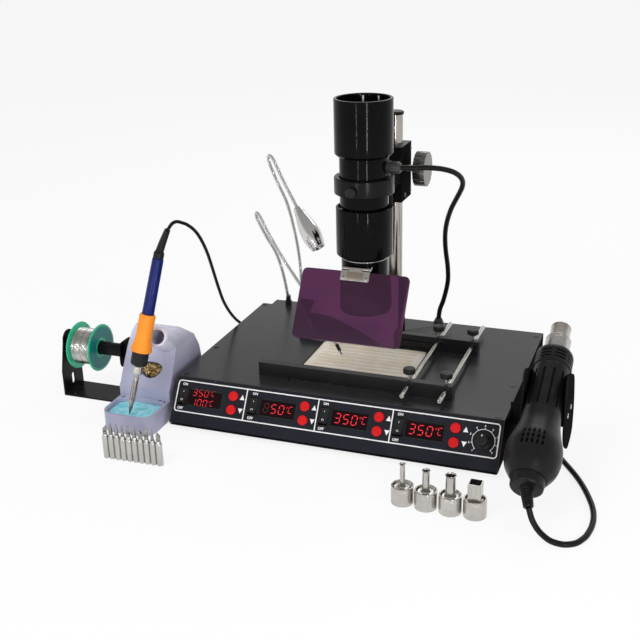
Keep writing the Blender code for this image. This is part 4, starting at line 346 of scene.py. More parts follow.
class Shape:
    # a mesh being built, with a placing and a material number for what is added next
    def __init__(self, matrix=None):
        self.bm = bmesh.new()
        self.matrix = matrix or Matrix.Identity(4)

    def added(self, faces, matrix=None, mat=0):
        verts = {v for f in faces for v in f.verts}
        for f in faces:
            f.material_index = mat
        bmesh.ops.transform(self.bm, matrix=self.matrix @ (matrix or Matrix.Identity(4)), verts=list(verts))

    def lathe(self, profile, steps=64, matrix=None, mat=0, closed=False, soft=0.0, squash=None):
        points = eased(profile, soft, closed)
        rings, faces = [], []
        for radius, height in points:
            count = steps if radius > 1e-9 else 1
            ring = []
            for i in range(count):
                angle = 2 * pi * (i + 0.5) / steps
                reach = radius * (squash(angle, height) if squash and radius > 1e-9 else 1)
                ring.append(self.bm.verts.new((reach * cos(angle), reach * sin(angle), height)))
            rings.append(ring)
        for first, second in list(zip(rings, rings[1:])) + ([(rings[-1], rings[0])] if closed else []):
            for i in range(steps):
                j = (i + 1) % steps
                corners = list(dict.fromkeys([first[i % len(first)], first[j % len(first)],
                                              second[j % len(second)], second[i % len(second)]]))
                if len(corners) > 2:
                    faces.append(self.bm.faces.new(corners))
        self.added(faces, matrix, mat)
        return self

    def rod(self, radius, low, high, steps=64, matrix=None, mat=0, soft=0.0):
        outline = [(0, low), (radius, low), (radius, high), (0, high)]
        return self.lathe(outline, steps, matrix, mat, soft=soft)

    def bridged(self, rings):
        # four-sided faces between rings of equal count
        faces = []
        for first, second in zip(rings, rings[1:]):
            for i in range(len(first)):
                j = (i + 1) % len(first)
                faces.append(self.bm.faces.new((first[i], first[j], second[j], second[i])))
        return faces

    def prism(self, outline, low, high, matrix=None, mat=0, axis="Z", soft=0.0):
        # the order of across, up and height that puts the height along the axis
        order = {"X": (2, 0, 1), "Y": (0, 2, 1), "Z": (0, 1, 2)}[axis]
        ends = [[self.bm.verts.new([(a, b, h)[k] for k in order]) for a, b in outline] for h in (low, high)]
        count = len(outline)
        faces = [self.bm.faces.new((ends[0][i], ends[0][(i + 1) % count], ends[1][(i + 1) % count],
                                    ends[1][i])) for i in range(count)]
        faces += [self.bm.faces.new(ends[0][::-1]), self.bm.faces.new(ends[1])]
        bmesh.ops.recalc_face_normals(self.bm, faces=faces)
        if soft:
            edges = {e for f in faces[-2:] for e in f.edges}
            if count < 9:   # a round outline keeps its sides
                edges |= {e for f in faces for e in f.edges}
            for f in faces:
                f.material_index = mat
            made = bmesh.ops.bevel(self.bm, geom=list(edges), offset=soft, segments=2, profile=0.5,
                                   affect="EDGES", clamp_overlap=True)
            faces = list({f for f in list(made["faces"]) + faces if f.is_valid}
                         | {f for v in made["verts"] if v.is_valid for f in v.link_faces})
        self.added(faces, matrix, mat)
        return self

    def box(self, low, high, matrix=None, mat=0, soft=0.0):
        outline = [(low[0], low[1]), (high[0], low[1]), (high[0], high[1]), (low[0], high[1])]
        return self.prism(outline, low[2], high[2], matrix, mat, soft=soft)

    def tube(self, path, radii, sides, mat=0):
        side, rings = None, []
        for i, point in enumerate(path):
            ahead = (path[min(i + 1, len(path) - 1)] - path[max(i - 1, 0)]).normalized()
            side = (side or ahead.orthogonal()) - ahead * ahead.dot(side or ahead.orthogonal())
            side.normalize()
            other = ahead.cross(side)
            rings.append([self.bm.verts.new(point + radii[i] * (side * cos(2 * pi * k / sides)
                                                                + other * sin(2 * pi * k / sides)))
                          for k in range(sides)])
        faces = self.bridged(rings) + [self.bm.faces.new(rings[0][::-1]), self.bm.faces.new(rings[-1])]
        self.added(faces, None, mat)
        return self

    def mesh(self, mesh, matrix=None, mat=0):
        before = set(self.bm.faces)
        self.bm.from_mesh(mesh)
        self.added([f for f in self.bm.faces if f not in before], matrix, mat)
        return self

    def text(self, words, size, matrix, mat=0, weight=0.0, thick=0.00004):
        data = bpy.data.curves.new("letters", "FONT")
        data.body, data.size, data.extrude, data.offset = words, size, thick, weight
        data.align_x, data.align_y, data.resolution_u = "CENTER", "CENTER", 3
        made = addObject("letters", data)
        flat = evaluated(made)
        bpy.data.objects.remove(made)
        return self.mesh(flat, matrix, mat)

    def shape(self, other, matrix=None, mat=0):
        # another shape's faces, put in with one material
        flat = bpy.data.meshes.new("part")
        other.bm.to_mesh(flat)
        return self.mesh(flat, matrix, mat)

    def node(self, name, mat=0, rule=None):
        # a CAD node's own shape, merged; rule gives a face's material number from its middle
        before = set(self.bm.faces)
        self.bm.from_mesh(nodes[name].data)
        faces = [f for f in self.bm.faces if f not in before]
        verts = list({v for f in faces for v in f.verts})
        bmesh.ops.remove_doubles(self.bm, verts=verts, dist=meshing["merge"])
        faces = [f for f in self.bm.faces if f not in before]
        bmesh.ops.recalc_face_normals(self.bm, faces=faces)
        bmesh.ops.dissolve_limit(self.bm, angle_limit=radians(meshing["flat"]),
                                 edges=list({e for f in faces for e in f.edges}),
                                 verts=list({v for f in faces for v in f.verts}))
        inverse = desk.inverted()
        for f in self.bm.faces:
            if f not in before:
                f.material_index = rule(inverse @ f.calc_center_median()) if rule else mat
        return self

    def carve(self, cutter):
        # cuts the other shape out of this one
        pair = []
        for shape in (self, cutter):
            bmesh.ops.recalc_face_normals(shape.bm, faces=shape.bm.faces)
            mesh = bpy.data.meshes.new("carving")
            shape.bm.to_mesh(mesh)
            for _ in range(4):
                mesh.materials.append(None)
            pair.append(addObject("carving", mesh))
        modifier = pair[0].modifiers.new("carve", "BOOLEAN")
        modifier.operation, modifier.solver, modifier.object = "DIFFERENCE", "EXACT", pair[1]
        pair[1].hide_render = True
        done = evaluated(pair[0])
        for made in pair:
            bpy.data.objects.remove(made)
        self.bm.clear()
        self.bm.from_mesh(done)
        return self

    def piece(self, name, body, paints, stands, slot, sharp=32, bevel=0.0):
        # the finished piece: its body, its paints and the node it stands for; slot is not used
        bmesh.ops.remove_doubles(self.bm, verts=self.bm.verts, dist=meshing["touching"])
        bmesh.ops.recalc_face_normals(self.bm, faces=self.bm.faces)
        mesh = bpy.data.meshes.new(name)
        self.bm.to_mesh(mesh)
        self.bm.free()
        for paint in paints if isinstance(paints, (list, tuple)) else [paints]:
            mesh.materials.append(paint)
        mesh.shade_smooth()
        mesh.set_sharp_from_angle(angle=radians(sharp))
        made = addObject(name, mesh)
        if bevel:
            ease = made.modifiers.new("ease", "BEVEL")
            ease.width, ease.segments = bevel, 2
            ease.limit_method, ease.angle_limit = "ANGLE", radians(meshing["bevelFrom"])
        return rideOn(made, body, stands)


def rideOn(made, body, stands):
    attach(made, body)
    if stands:
        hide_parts(stands)
    return made


# cords

cableLook = {"colour": (0.007, 0.007, 0.008), "rough": 0.34, "stiffness": "medium", "lay": "loose",
             "step": 0.004, "spots": 39}
cablePaint = surface("cable rubber", cableLook["colour"], cableLook["rough"], shade=0.2, dust=0.01,
                     grain=(2600.0, 0.00002), level=0.14, smudge=0.08)

cords = {"lampCable": {"node": "lamp_cable", "radius": 0.0030, "route": ((0.0532, 0.0908, 0.2982),
            (0.0628, 0.0914, 0.2985), (0.0722, 0.0955, 0.2986), (0.0824, 0.1000, 0.2980),
            (0.0921, 0.1060, 0.2962), (0.1012, 0.1130, 0.2930), (0.1080, 0.1210, 0.2875),
            (0.1112, 0.1305, 0.2800), (0.1100, 0.1400, 0.2705), (0.1050, 0.1500, 0.2601),
            (0.0982, 0.1605, 0.2482), (0.0912, 0.1710, 0.2359), (0.0850, 0.1820, 0.2225),
            (0.0797, 0.1930, 0.2082), (0.0757, 0.2040, 0.1925), (0.0738, 0.2130, 0.1772),
            (0.0733, 0.2200, 0.1630), (0.0737, 0.2260, 0.1491), (0.0737, 0.2310, 0.1356),
            (0.0727, 0.2360, 0.1217), (0.0701, 0.2395, 0.1079), (0.0668, 0.2420, 0.0952),
            (0.0632, 0.2435, 0.0830), (0.0598, 0.2440, 0.0735), (0.0595, 0.2440, 0.0658))},
         "ironCable": {"node": "iron_cable", "radius": 0.0020, "route": ((-0.1903, -0.0046, 0.2355),
            (-0.1883, -0.0047, 0.2394), (-0.1848, 0.0005, 0.2430), (-0.1820, 0.0045, 0.2430),
            (-0.1796, 0.0090, 0.2411), (-0.1773, 0.0150, 0.2378), (-0.1756, 0.0210, 0.2335),
            (-0.1743, 0.0280, 0.2276), (-0.1742, 0.0360, 0.2200), (-0.1749, 0.0450, 0.2106),
            (-0.1766, 0.0550, 0.2000), (-0.1790, 0.0660, 0.1878), (-0.1822, 0.0780, 0.1737),
            (-0.1858, 0.0910, 0.1577), (-0.1896, 0.1050, 0.1397), (-0.1929, 0.1190, 0.1209),
            (-0.1958, 0.1330, 0.1026), (-0.1974, 0.1470, 0.0862), (-0.1982, 0.1600, 0.0727),
            (-0.1986, 0.1730, 0.0610), (-0.1990, 0.1860, 0.0512), (-0.1995, 0.2000, 0.0424),
            (-0.2000, 0.2150, 0.0345), (-0.2003, 0.2300, 0.0284), (-0.2003, 0.2450, 0.0250),
            (-0.1998, 0.2600, 0.0240), (-0.1972, 0.2740, 0.0240), (-0.1905, 0.2850, 0.0240),
            (-0.1808, 0.2895, 0.0240), (-0.1716, 0.2855, 0.0240), (-0.1664, 0.2765, 0.0240),
            (-0.1650, 0.2646, 0.0240))}, "gunCable": {"node": "gun_cable", "radius": 0.0030,
        "route": ((0.2404, -0.1182, 0.0265), (0.2416, -0.1207, 0.0244), (0.2430, -0.1218, 0.0203),
                  (0.2454, -0.1219, 0.0153), (0.2492, -0.1238, 0.0100), (0.2540, -0.1257, 0.0060),
                  (0.2599, -0.1297, 0.0042), (0.2660, -0.1326, 0.0034), (0.2719, -0.1342, 0.0032),
                  (0.2774, -0.1342, 0.0032), (0.2826, -0.1321, 0.0032), (0.2876, -0.1278, 0.0032),
                  (0.2930, -0.1190, 0.0032), (0.2969, -0.1052, 0.0032), (0.2984, -0.0864, 0.0032),
                  (0.2959, -0.0644, 0.0032), (0.2880, -0.0391, 0.0032), (0.2763, -0.0120, 0.0032),
                  (0.2620, 0.0130, 0.0032), (0.2480, 0.0350, 0.0032), (0.2360, 0.0580, 0.0032),
                  (0.2280, 0.0820, 0.0032), (0.2235, 0.1080, 0.0032), (0.2220, 0.1340, 0.0032),
                  (0.2220, 0.1600, 0.0032), (0.2220, 0.1860, 0.0032), (0.2220, 0.2120, 0.0032),
                  (0.2215, 0.2360, 0.0032), (0.2190, 0.2580, 0.0032), (0.2130, 0.2770, 0.0032),
                  (0.2030, 0.2910, 0.0034), (0.1890, 0.2995, 0.0042), (0.1740, 0.3000, 0.0070),
                  (0.1610, 0.2945, 0.0125), (0.1530, 0.2850, 0.0190), (0.1501, 0.2750, 0.0236),
                  (0.1500, 0.2646, 0.0240))}, }


def makeCord(name, look):
    points = [desk @ p for p in smoothRoute(look["route"], cableLook["step"])]
    length = sum((b - a).length for a, b in zip(points, points[1:]))
    count = min(cableLook["spots"], len(look["route"]) + 3)
    spots = [desk @ p for p in smoothRoute(look["route"], length / count)]
    data = bpy.data.curves.new(name, "CURVE")
    data.dimensions, data.bevel_depth, data.bevel_resolution = "3D", look["radius"], 5
    data.use_fill_caps, data.resolution_u = True, 8
    spline = data.splines.new("BEZIER")
    spline.bezier_points.add(len(spots) - 1)
    for spot, point in zip(spline.bezier_points, spots):
        spot.co, spot.handle_left_type, spot.handle_right_type = point, "AUTO", "AUTO"
    data.materials.append(cablePaint)
    made = addObject(name, data)
    rideOn(made, "station", look["node"])
    tuple(points[0])


for cordName, cordLook in cords.items():
    makeCord(cordName, cordLook)
print("cords laid")


# stage

# horizon: metal sees white near it and a dimmer ceiling
stageLook = {"sky": 0.55, "floor": 0.93, "glow": 0.84, "rough": 0.9, "reach": 9,
             "horizon": (0.10, 0.60, 1.0, 0.45)}
lamps = {"key": {"place": (-0.5, -1.3, 1.5), "aim": (0.0, 0.05, 0.1), "size": (0.9, 0.7), "power": 11.0,
                 "mirrored": False}, "fill": {"place": (1.5, -0.5, 0.9), "aim": (0.0, 0.05, 0.1),
                                              "size": (0.7, 0.9), "power": 5.0, "mirrored": False},
         "rear": {"place": (0.2, 1.5, 1.4), "aim": (0.0, 0.05, 0.1), "size": (1.2, 0.5), "power": 7.0},
         "stripRight": {"place": (0.62, -0.92, 0.22), "aim": (0.06, 0.02, 0.22), "size": (0.014, 0.52),
                        "power": 2.4}, "stripLeft": {"place": (-0.12, -1.15, 0.22), "aim": (0.06, 0.02, 0.22),
        "size": (0.010, 0.52), "power": 1.1}, }


def makeStage(look):
    world = bpy.data.worlds.new("studio")
    scene.world = world
    world.use_nodes = True
    tree = world.node_tree
    tree.nodes.clear()
    path = tree.nodes.new("ShaderNodeLightPath")
    seen = Wire(tree, path.outputs["Is Camera Ray"])
    mirrored = Wire(tree, path.outputs["Is Glossy Ray"])
    through = Wire(tree, path.outputs["Is Transmission Ray"])
    heading = tree.nodes.new("ShaderNodeTexCoord")
    parts = tree.nodes.new("ShaderNodeSeparateXYZ")
    tree.links.new(heading.outputs["Generated"], parts.inputs[0])
    ceiling = Wire(tree, parts.outputs[2]).step(*look["horizon"])
    level = seen.maths("MAXIMUM", seen, through)
    rest = mirrored * ceiling + (1.0 - mirrored) * look["sky"]
    strength = level + (1.0 - level) * rest
    back = tree.nodes.new("ShaderNodeBackground")
    back.inputs["Color"].default_value = (1, 1, 1, 1)
    tree.links.new(strength.socket, back.inputs["Strength"])
    out = tree.nodes.new("ShaderNodeOutputWorld")
    tree.links.new(back.outputs[0], out.inputs[0])

    floor = bpy.data.materials.new("floor")
    floor.use_nodes = True
    tree = floor.node_tree
    shader = tree.nodes["Principled BSDF"]
    shader.inputs["Base Color"].default_value = (look["floor"],) * 3 + (1,)
    shader.inputs["Roughness"].default_value = look["rough"]
    shader.inputs["Specular IOR Level"].default_value = 0.0
    glow = tree.nodes.new("ShaderNodeEmission")
    glow.inputs["Strength"].default_value = 1.0
    path = tree.nodes.new("ShaderNodeLightPath")
    seen = Wire(tree, path.outputs["Is Camera Ray"])
    other = seen.maths("MAXIMUM", Wire(tree, path.outputs["Is Glossy Ray"]),
                       Wire(tree, path.outputs["Is Transmission Ray"]))
    blend = tree.nodes.new("ShaderNodeMixShader")
    tree.links.new((seen.maths("MAXIMUM", seen, other) * look["glow"]).socket, blend.inputs[0])
    tree.links.new(shader.outputs[0], blend.inputs[1])
    tree.links.new(glow.outputs[0], blend.inputs[2])
    tree.links.new(blend.outputs[0], tree.nodes["Material Output"].inputs[0])
    mesh = bpy.data.meshes.new("floor")
    far = look["reach"]
    mesh.from_pydata([(-far, -far, 0), (far, -far, 0), (far, far, 0), (-far, far, 0)], [], [(0, 1, 2, 3)])
    mesh.materials.append(floor)
    addObject("floor", mesh)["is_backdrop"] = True
    scene.view_settings.view_transform = "Standard"


def makeLamp(name, look):
    data = bpy.data.lights.new(name, "AREA")
    data.shape, data.size, data.size_y, data.energy = "RECTANGLE", *look["size"], look["power"]
    made = addObject(name, data)
    made.matrix_world = along(Vector(look["place"]) - Vector(look["aim"]), look["place"])
    made.visible_glossy = look.get("mirrored", True)


makeStage(stageLook)
for lampName, lampLook in lamps.items():
    makeLamp(lampName, lampLook)
print("stage set")


# finishes used by several pieces

casePaint = surface("case paint", (0.024, 0.024, 0.026), 0.24, 0.1, shade=0.05, patch=16.0, dust=0.025,
                    wear=0.03, grain=(2400.0, 0.000004), level=0.30, smudge=0.035)
glossPaint = surface("gloss black", (0.0022, 0.0022, 0.0026), 0.09, shade=0.25, dust=0.02, wear=0.04,
                     level=0.08, grain=(900.0, 0.000002), smudge=0.03, patch=20.0)
mattBlack = surface("matt black", (0.012, 0.012, 0.013), 0.55, shade=0.18, wear=0.06, dust=0.02, level=0.0,
                    grain=(2000.0, 0.00001))
brushedBlack = surface("brushed black", (0.011, 0.011, 0.012), 0.32, 0.2, brush=(30.0, 1700.0, 1700.0),
                       wear=0.12, dust=0.04, level=0.30)
blackMetal = surface("black metal", (0.006, 0.006, 0.007), 0.26, wear=0.05, dust=0.02, level=0.10)
plasticBlack = surface("black plastic", (0.010, 0.010, 0.011), 0.38, grain=(2300.0, 0.00003), level=0.22,
                       dust=0.02)
steelPaint = surface("steel", (0.44, 0.42, 0.39), 0.20, 1.0, brush=(500.0, 12.0, 500.0), wear=0.02,
                     wearColour=(0.20, 0.19, 0.18))
columnPaint = surface("column chrome", (0.40, 0.37, 0.34), 0.13, 1.0, shade=0.10, smudge=0.05, wear=0.10,
                      wearColour=(0.22, 0.20, 0.18), grain=(400.0, 0.000006))
chromePaint = surface("chrome", (0.62, 0.61, 0.60), 0.10, 1.0, shade=0.08, smudge=0.05, wear=0.06,
                      wearColour=(0.30, 0.29, 0.28), grain=(400.0, 0.000006))
nickelPaint = surface("nickel", (0.50, 0.48, 0.45), 0.24, 1.0, brush=(500.0, 500.0, 60.0), wear=0.12,
                      wearColour=(0.26, 0.24, 0.22))
darkSteel = surface("dark steel", (0.10, 0.095, 0.09), 0.34, 0.9, wear=0.2, wearColour=(0.3, 0.29, 0.27))
brassPaint = surface("brass", (0.55, 0.36, 0.13), 0.25, 1.0, brush=(60.0, 900.0, 900.0))
printPaint = surface("white print", (0.80, 0.80, 0.80), 0.55, shade=0.06, grain=(3000.0, 0.000006))
# near-black for the insides of slots, holes, grooves and bores: painted shade
holeShadePaint = surface("painted hole shade", (0.004, 0.004, 0.004), 0.8, level=0.1)
print("finishes mixed")


# main unit

# screws: radius of the head, then places
unit = {"height": 0.0555, "sideFrom": 0.1925, "screws": (
    (0.0036, ((-0.187, 0.007), (-0.1886, 0.091), (-0.1897, 0.249), (0.1863, 0.0056), (0.1862, 0.087),
              (0.1866, 0.241))),
    (0.0019, ((-0.0628, 0.0064), (0.0674, 0.0063))))}


def crossHead(shape, radius, place, mat, slotShadeMat, rise=0.0005):
    # a countersunk head with a cross slot; a darker slot paint is painted shade in the slot
    shape.lathe([(0, -0.0002), (radius, -0.0002), (radius * 0.94, rise * 0.5), (radius * 0.55, rise),
                 (0, rise)], 24, place, mat)
    for turn in (0.4, 0.4 + pi / 2):
        shape.box((-radius * 0.62, -radius * 0.11, 0), (radius * 0.62, radius * 0.11, rise * 1.15),
                  place @ spin(turn, "Z"), slotShadeMat)


def repeat(name, sample, places, seed=1, turns=False, sizes=(1.0, 1.0)):
    # instances of a small mesh at the places, as one plain mesh
    tree = bpy.data.node_groups.new(name, "GeometryNodeTree")
    inputs = {"Places": "Geometry", "Sample": "Object", "Finish": "Material", "Seed": "Int", "Turn": "Float",
              "Smallest": "Float", "Largest": "Float"}
    for label, kind in inputs.items():
        tree.interface.new_socket(label, in_out="INPUT", socket_type="NodeSocket" + kind)
    tree.interface.new_socket("Result", in_out="OUTPUT", socket_type="NodeSocketGeometry")
    make = tree.nodes.new
    source, out = make("NodeGroupInput"), make("NodeGroupOutput")
    info, spread, turn, size = (make("GeometryNodeObjectInfo"), make("GeometryNodeInstanceOnPoints"),
                                make("FunctionNodeRandomValue"), make("FunctionNodeRandomValue"))
    solid, paint = make("GeometryNodeRealizeInstances"), make("GeometryNodeSetMaterial")
    turn.data_type, size.data_type = "FLOAT_VECTOR", "FLOAT"
    scaled = make("ShaderNodeVectorMath")
    scaled.operation = "SCALE"
    link = tree.links.new
    link(source.outputs["Sample"], info.inputs["Object"])
    link(source.outputs["Places"], spread.inputs["Points"])
    link(info.outputs["Geometry"], spread.inputs["Instance"])
    turn.inputs[1].default_value = (2 * pi,) * 3
    link(source.outputs["Seed"], turn.inputs["Seed"])
    link(turn.outputs[0], scaled.inputs[0])
    link(source.outputs["Turn"], scaled.inputs["Scale"])
    link(scaled.outputs[0], spread.inputs["Rotation"])
    link(source.outputs["Smallest"], size.inputs[2])
    link(source.outputs["Largest"], size.inputs[3])
    link(source.outputs["Seed"], size.inputs["Seed"])
    link(size.outputs[1], spread.inputs["Scale"])
    link(spread.outputs[0], solid.inputs[0])
    link(solid.outputs[0], paint.inputs[0])
    link(source.outputs["Finish"], paint.inputs["Material"])
    link(paint.outputs[0], out.inputs[0])

    points = bpy.data.meshes.new(name)
    points.from_pydata([tuple(p) for p in places], [], [])
    made = addObject(name, points)
    grow = made.modifiers.new("repeat", "NODES")
    grow.node_group = tree
    wanted = {"Sample": sample, "Finish": sample.data.materials[0], "Seed": seed,
              "Turn": 1.0 if turns else 0.0, "Smallest": sizes[0], "Largest": sizes[1]}
    for item in tree.interface.items_tree:
        if item.in_out == "INPUT" and item.name in wanted:
            grow[item.identifier] = wanted[item.name]
    done = evaluated(made)
    bpy.data.objects.remove(made)
    bpy.data.objects.remove(sample)
    return done


def looseObject(name, shape, paints):
    # a sample for the repeats, taken away again by them
    mesh = bpy.data.meshes.new(name)
    bmesh.ops.recalc_face_normals(shape.bm, faces=shape.bm.faces)
    shape.bm.to_mesh(mesh)
    shape.bm.free()
    for paint in paints:
        mesh.materials.append(paint)
    return addObject(name, mesh)


def makeUnit(look):
    def side(p):
        return 1 if abs(p.x) > look["sideFrom"] else 0

    Shape().node("top_cover", rule=side).piece("topCover", "station", [casePaint, mattBlack], "top_cover",
                                               "case_paint", bevel=0.0007)
    Shape().node("base_pan").piece("basePan", "station", mattBlack, "base_pan", "case_paint", bevel=0.0004)
    screwPaint = surface("screw black", (0.02, 0.02, 0.022), 0.3, 0.7, wear=0.35, wearColour=(0.4, 0.4, 0.38))
    heads = Shape()
    for radius, spots in look["screws"]:
        sample = Shape()
        crossHead(sample, radius, Matrix.Identity(4), 0, 0)
        sample.lathe([(radius * 0.98, 0), (radius * 1.16, 0.0001), (radius * 1.20, 0)], 24)
        heads.mesh(repeat("coverScrews", looseObject("head", sample, [screwPaint]),
                          [desk @ Vector((x, y, look["height"])) for x, y in spots]))
    heads.piece("coverScrews", "station", screwPaint, (), "case_paint")


heater = {"side": 0.133, "x": 0.002, "y": 0.0885, "corner": 0.007, "thick": 0.013, "ribs": 14,
          "margin": 0.0095, "across": 60, "along": 170, "sunk": 0.0004, "waveHigh": 0.0008}


def makeHeater(look):
    paint = Paint("heater ceramic")
    wide = paint.noise(paint.at, 45.0, 4.0, 0.6)
    fine = paint.noise(paint.at, 900.0, 3.0, 0.7)
    spots = paint.noise(paint.at, 260.0, 5.0, 0.75).step(0.62, 0.72)
    cream = paint.mix(wide.step(0.35, 0.7), (0.80, 0.72, 0.58), (0.90, 0.86, 0.78))
    cream = paint.mix(spots * 0.25, cream, (0.50, 0.41, 0.29))
    # darker where the surface lies low, in the grooves between the ridges and at the rim: painted shade and
    # dirt
    height = paint.split(paint.at, 2)
    low = height.step(0.0535, 0.0550, 1.0, 0.0)
    cream = paint.mix(low * 0.45, cream, (0.56, 0.46, 0.33))
    paint.feed(Base_Color=cream, Roughness=wide * 0.2 + 0.55, Normal=paint.bump(fine * 0.4 + wide * 0.6,
            0.00012))
    top = unit["height"] - look["sunk"]
    side, count, rows = look["side"] / 2, look["across"], look["along"]
    shape = Shape(desk)
    grid = {}
    for i in range(count + 1):
        for j in range(rows + 1):
            u, v = (i / count * 2 - 1), (j / rows * 2 - 1)
            edge = max(abs(u), abs(v))
            uneven = (0.35 * sin(5 * u) + 0.2 * sin(11 * u + 1)) * (v > -0.85)
            wave = cos(pi * look["ribs"] * (v + 1) + uneven)
            inside = 1 if abs(u) < 0.86 and abs(v) < 0.93 else 0
            fall = min(1.0, max(0.0, (1 - edge) / 0.05))
            z = top - 0.0016 + 0.0007 * fall + look["waveHigh"] * (wave if inside else 1)
            x, y = look["x"] + u * side, look["y"] + v * side
            # round corners
            cx = max(0.0, abs(u * side) - side + look["corner"])
            cy = max(0.0, abs(v * side) - side + look["corner"])
            reach = hypot(cx, cy)
            if reach > look["corner"] and cx and cy:
                x -= (cx - cx * look["corner"] / reach) * (1 if u > 0 else -1)
                y -= (cy - cy * look["corner"] / reach) * (1 if v > 0 else -1)
            grid[i, j] = shape.bm.verts.new((x, y, z))
    faces = [shape.bm.faces.new((grid[i, j], grid[i + 1, j], grid[i + 1, j + 1], grid[i, j + 1]))
             for i in range(count) for j in range(rows)]
    rim = ([grid[i, 0] for i in range(count)] + [grid[count, j] for j in range(rows)]
           + [grid[i, rows] for i in range(count, 0, -1)] + [grid[0, j] for j in range(rows, 0, -1)])
    lower = [shape.bm.verts.new((v.co.x, v.co.y, top - look["thick"])) for v in rim]
    for k in range(len(rim)):
        n = (k + 1) % len(rim)
        faces.append(shape.bm.faces.new((rim[k], lower[k], lower[n], rim[n])))
    faces.append(shape.bm.faces.new(lower))
    shape.added(faces)
    # the front margin is dressed black, as in the photo
    edge = look["y"] - side + look["margin"]
    for f in faces:
        if (desk.inverted() @ f.calc_center_median()).y < edge:
            f.material_index = 1
    shape.piece("preheatPlate", "station", [paint.material, casePaint], "preheat_plate", "ceramic", sharp=50)


makeUnit(unit)
makeHeater(heater)
print("main unit made")


# front panel

panel = {"rise": 0.0482, "reach": 0.0315, "foot": 0.0073, "switches": (-0.1829, -0.0932, -0.0066, 0.0801),
         "displays": (-0.1544, -0.0626, 0.0238, 0.1096), "buttons": (-0.1190, -0.0304, 0.0571, 0.1430),
         "rows": (0.0419, 0.0260), "row": 0.03397, "border": (-0.1915, 0.0153, 0.1908, 0.0530),
         "dividers": (-0.103, -0.015, 0.072), "line": 0.0013, "dial": (0.1744, 0.0325),
         "dialTurn": 137.5, "dialMarks": 9, "lift": 0.00002, "ink": 0.00006, "letter": 0.0040}
panelFrame = (desk @ shift((0, -panel["reach"], panel["foot"]))
              @ spin(atan2(panel["rise"], panel["reach"]), "X"))
bars = {"a": (0.5, 1.0, 0), "g": (0.5, 0.5, 0), "d": (0.5, 0.0, 0), "f": (0.0, 0.75, 1), "b": (1.0, 0.75, 1),
        "e": (0.0, 0.25, 1), "c": (1.0, 0.25, 1)}
lit = {"0": "abcdef", "1": "bc", "3": "abcdg", "5": "afgcd", "8": "abcdefg", "C": "afed", "o": "abfg"}


def segmentDigit(shape, letter, x, y, high, mat, lift):
    # one digit of slanted bars; o is the small ring of the degree sign
    wide, thick = high * 0.56, high * 0.088
    for name in lit[letter]:
        a, b, upright = bars[name]
        cx, cy = a * wide, b * high
        half = (high * 0.25 if upright else wide * 0.5) - thick * 0.62
        points = [(half, 0), (half - thick / 2, thick / 2), (-half + thick / 2, thick / 2), (-half, 0),
                  (-half + thick / 2, -thick / 2), (half - thick / 2, -thick / 2)]
        if upright:
            points = [(-q, p) for p, q in points]
        outline = [(x + cx + p + (cy + q) * 0.12, y + cy + q) for p, q in points]
        shape.prism(outline, lift, lift + 0.00004, mat=mat)


def makePanel(look):
    film = surface("panel film", (0.0125, 0.0135, 0.0200), 0.42, shade=0.10, grain=(3200.0, 0.00002),
                   dust=0.02, level=0.14, smudge=0.06)
    Shape().node("front_panel").piece("frontPanel", "station", film, "front_panel", "panel_film",
                                      bevel=0.0002)
    shape = Shape(panelFrame)
    low, line, lift, high = look["border"], look["line"], look["lift"], look["lift"] + look["ink"]
    outer = roundedBox(*low, 0.004, 6)
    inner = roundedBox(low[0] + line, low[1] + line, low[2] - line, low[3] - line, 0.004 - line, 6)
    for height in (lift, high):
        rings = [[shape.bm.verts.new((a, b, height)) for a, b in ring] for ring in (outer, inner)]
        shape.added(shape.bridged(rings))
    for x in look["dividers"]:
        shape.box((x - line / 2, low[1] + line, lift), (x + line / 2, low[3] - line, high))
    for x in look["switches"]:
        for word, aside, up in (("ON", 0.0005, 0.0142), ("OFF", -0.001, -0.0142)):
            shape.text(word, look["letter"], shift((x + aside, look["row"] + up, lift + 0.00004)),
                       weight=0.00012)
    for x in look["buttons"]:
        for y, sign in zip(look["rows"], (1, -1)):
            cx, size = x + 0.0112, 0.0029
            shape.prism([(cx - size, y - sign * size), (cx + size, y - sign * size), (cx, y + sign * size)],
                        lift, high)
    # the dial's arc, marks and numbers
    cx, cy = look["dial"]
    reach, steps, last = look["dialTurn"], 72, look["dialMarks"] - 1
    angles = [radians(-reach + 2 * reach * k / steps) for k in range(steps + 1)]
    for a, b in zip(angles, angles[1:]):
        corners = ((0.0120, a), (0.0120, b), (0.0126, b), (0.0126, a))
        shape.prism([(cx + sin(t) * r, cy + cos(t) * r) for r, t in corners], lift, high)
    for k in range(last + 1):
        turn = radians(-reach + 2 * reach * k / last)
        out = Vector((sin(turn), cos(turn)))
        across = Vector((out.y, -out.x)) * 0.00035
        ends = [Vector((cx, cy)) + out * r for r in (0.0120, 0.0138)]
        shape.prism([tuple(ends[0] - across), tuple(ends[1] - across), tuple(ends[1] + across),
                     tuple(ends[0] + across)], lift, high)
        spot = Vector((cx, cy)) + out * 0.0157
        shape.text(str(k + 1), 0.0030, shift((spot.x, spot.y, lift + 0.00004)), weight=0.00008)
    shape.piece("panelPrint", "station", printPaint, (), "panel_film")

    frames = Shape(panelFrame)
    for x in look["switches"]:
        ring = Shape(panelFrame).prism(roundedBox(x - 0.0064, look["row"] - 0.0114, x + 0.0064,
                                                  look["row"] + 0.0114, 0.001, 3), 0.00005, 0.0009, None, 0,
                                       "Z", 0.0003)
        ring.carve(Shape(panelFrame).box((x - 0.0054, look["row"] - 0.01025, -0.002),
                                         (x + 0.0054, look["row"] + 0.01025, 0.003)))
        frames.shape(ring, panelFrame.inverted())
    frames.piece("switchFrames", "station", plasticBlack, (), "gloss_black")


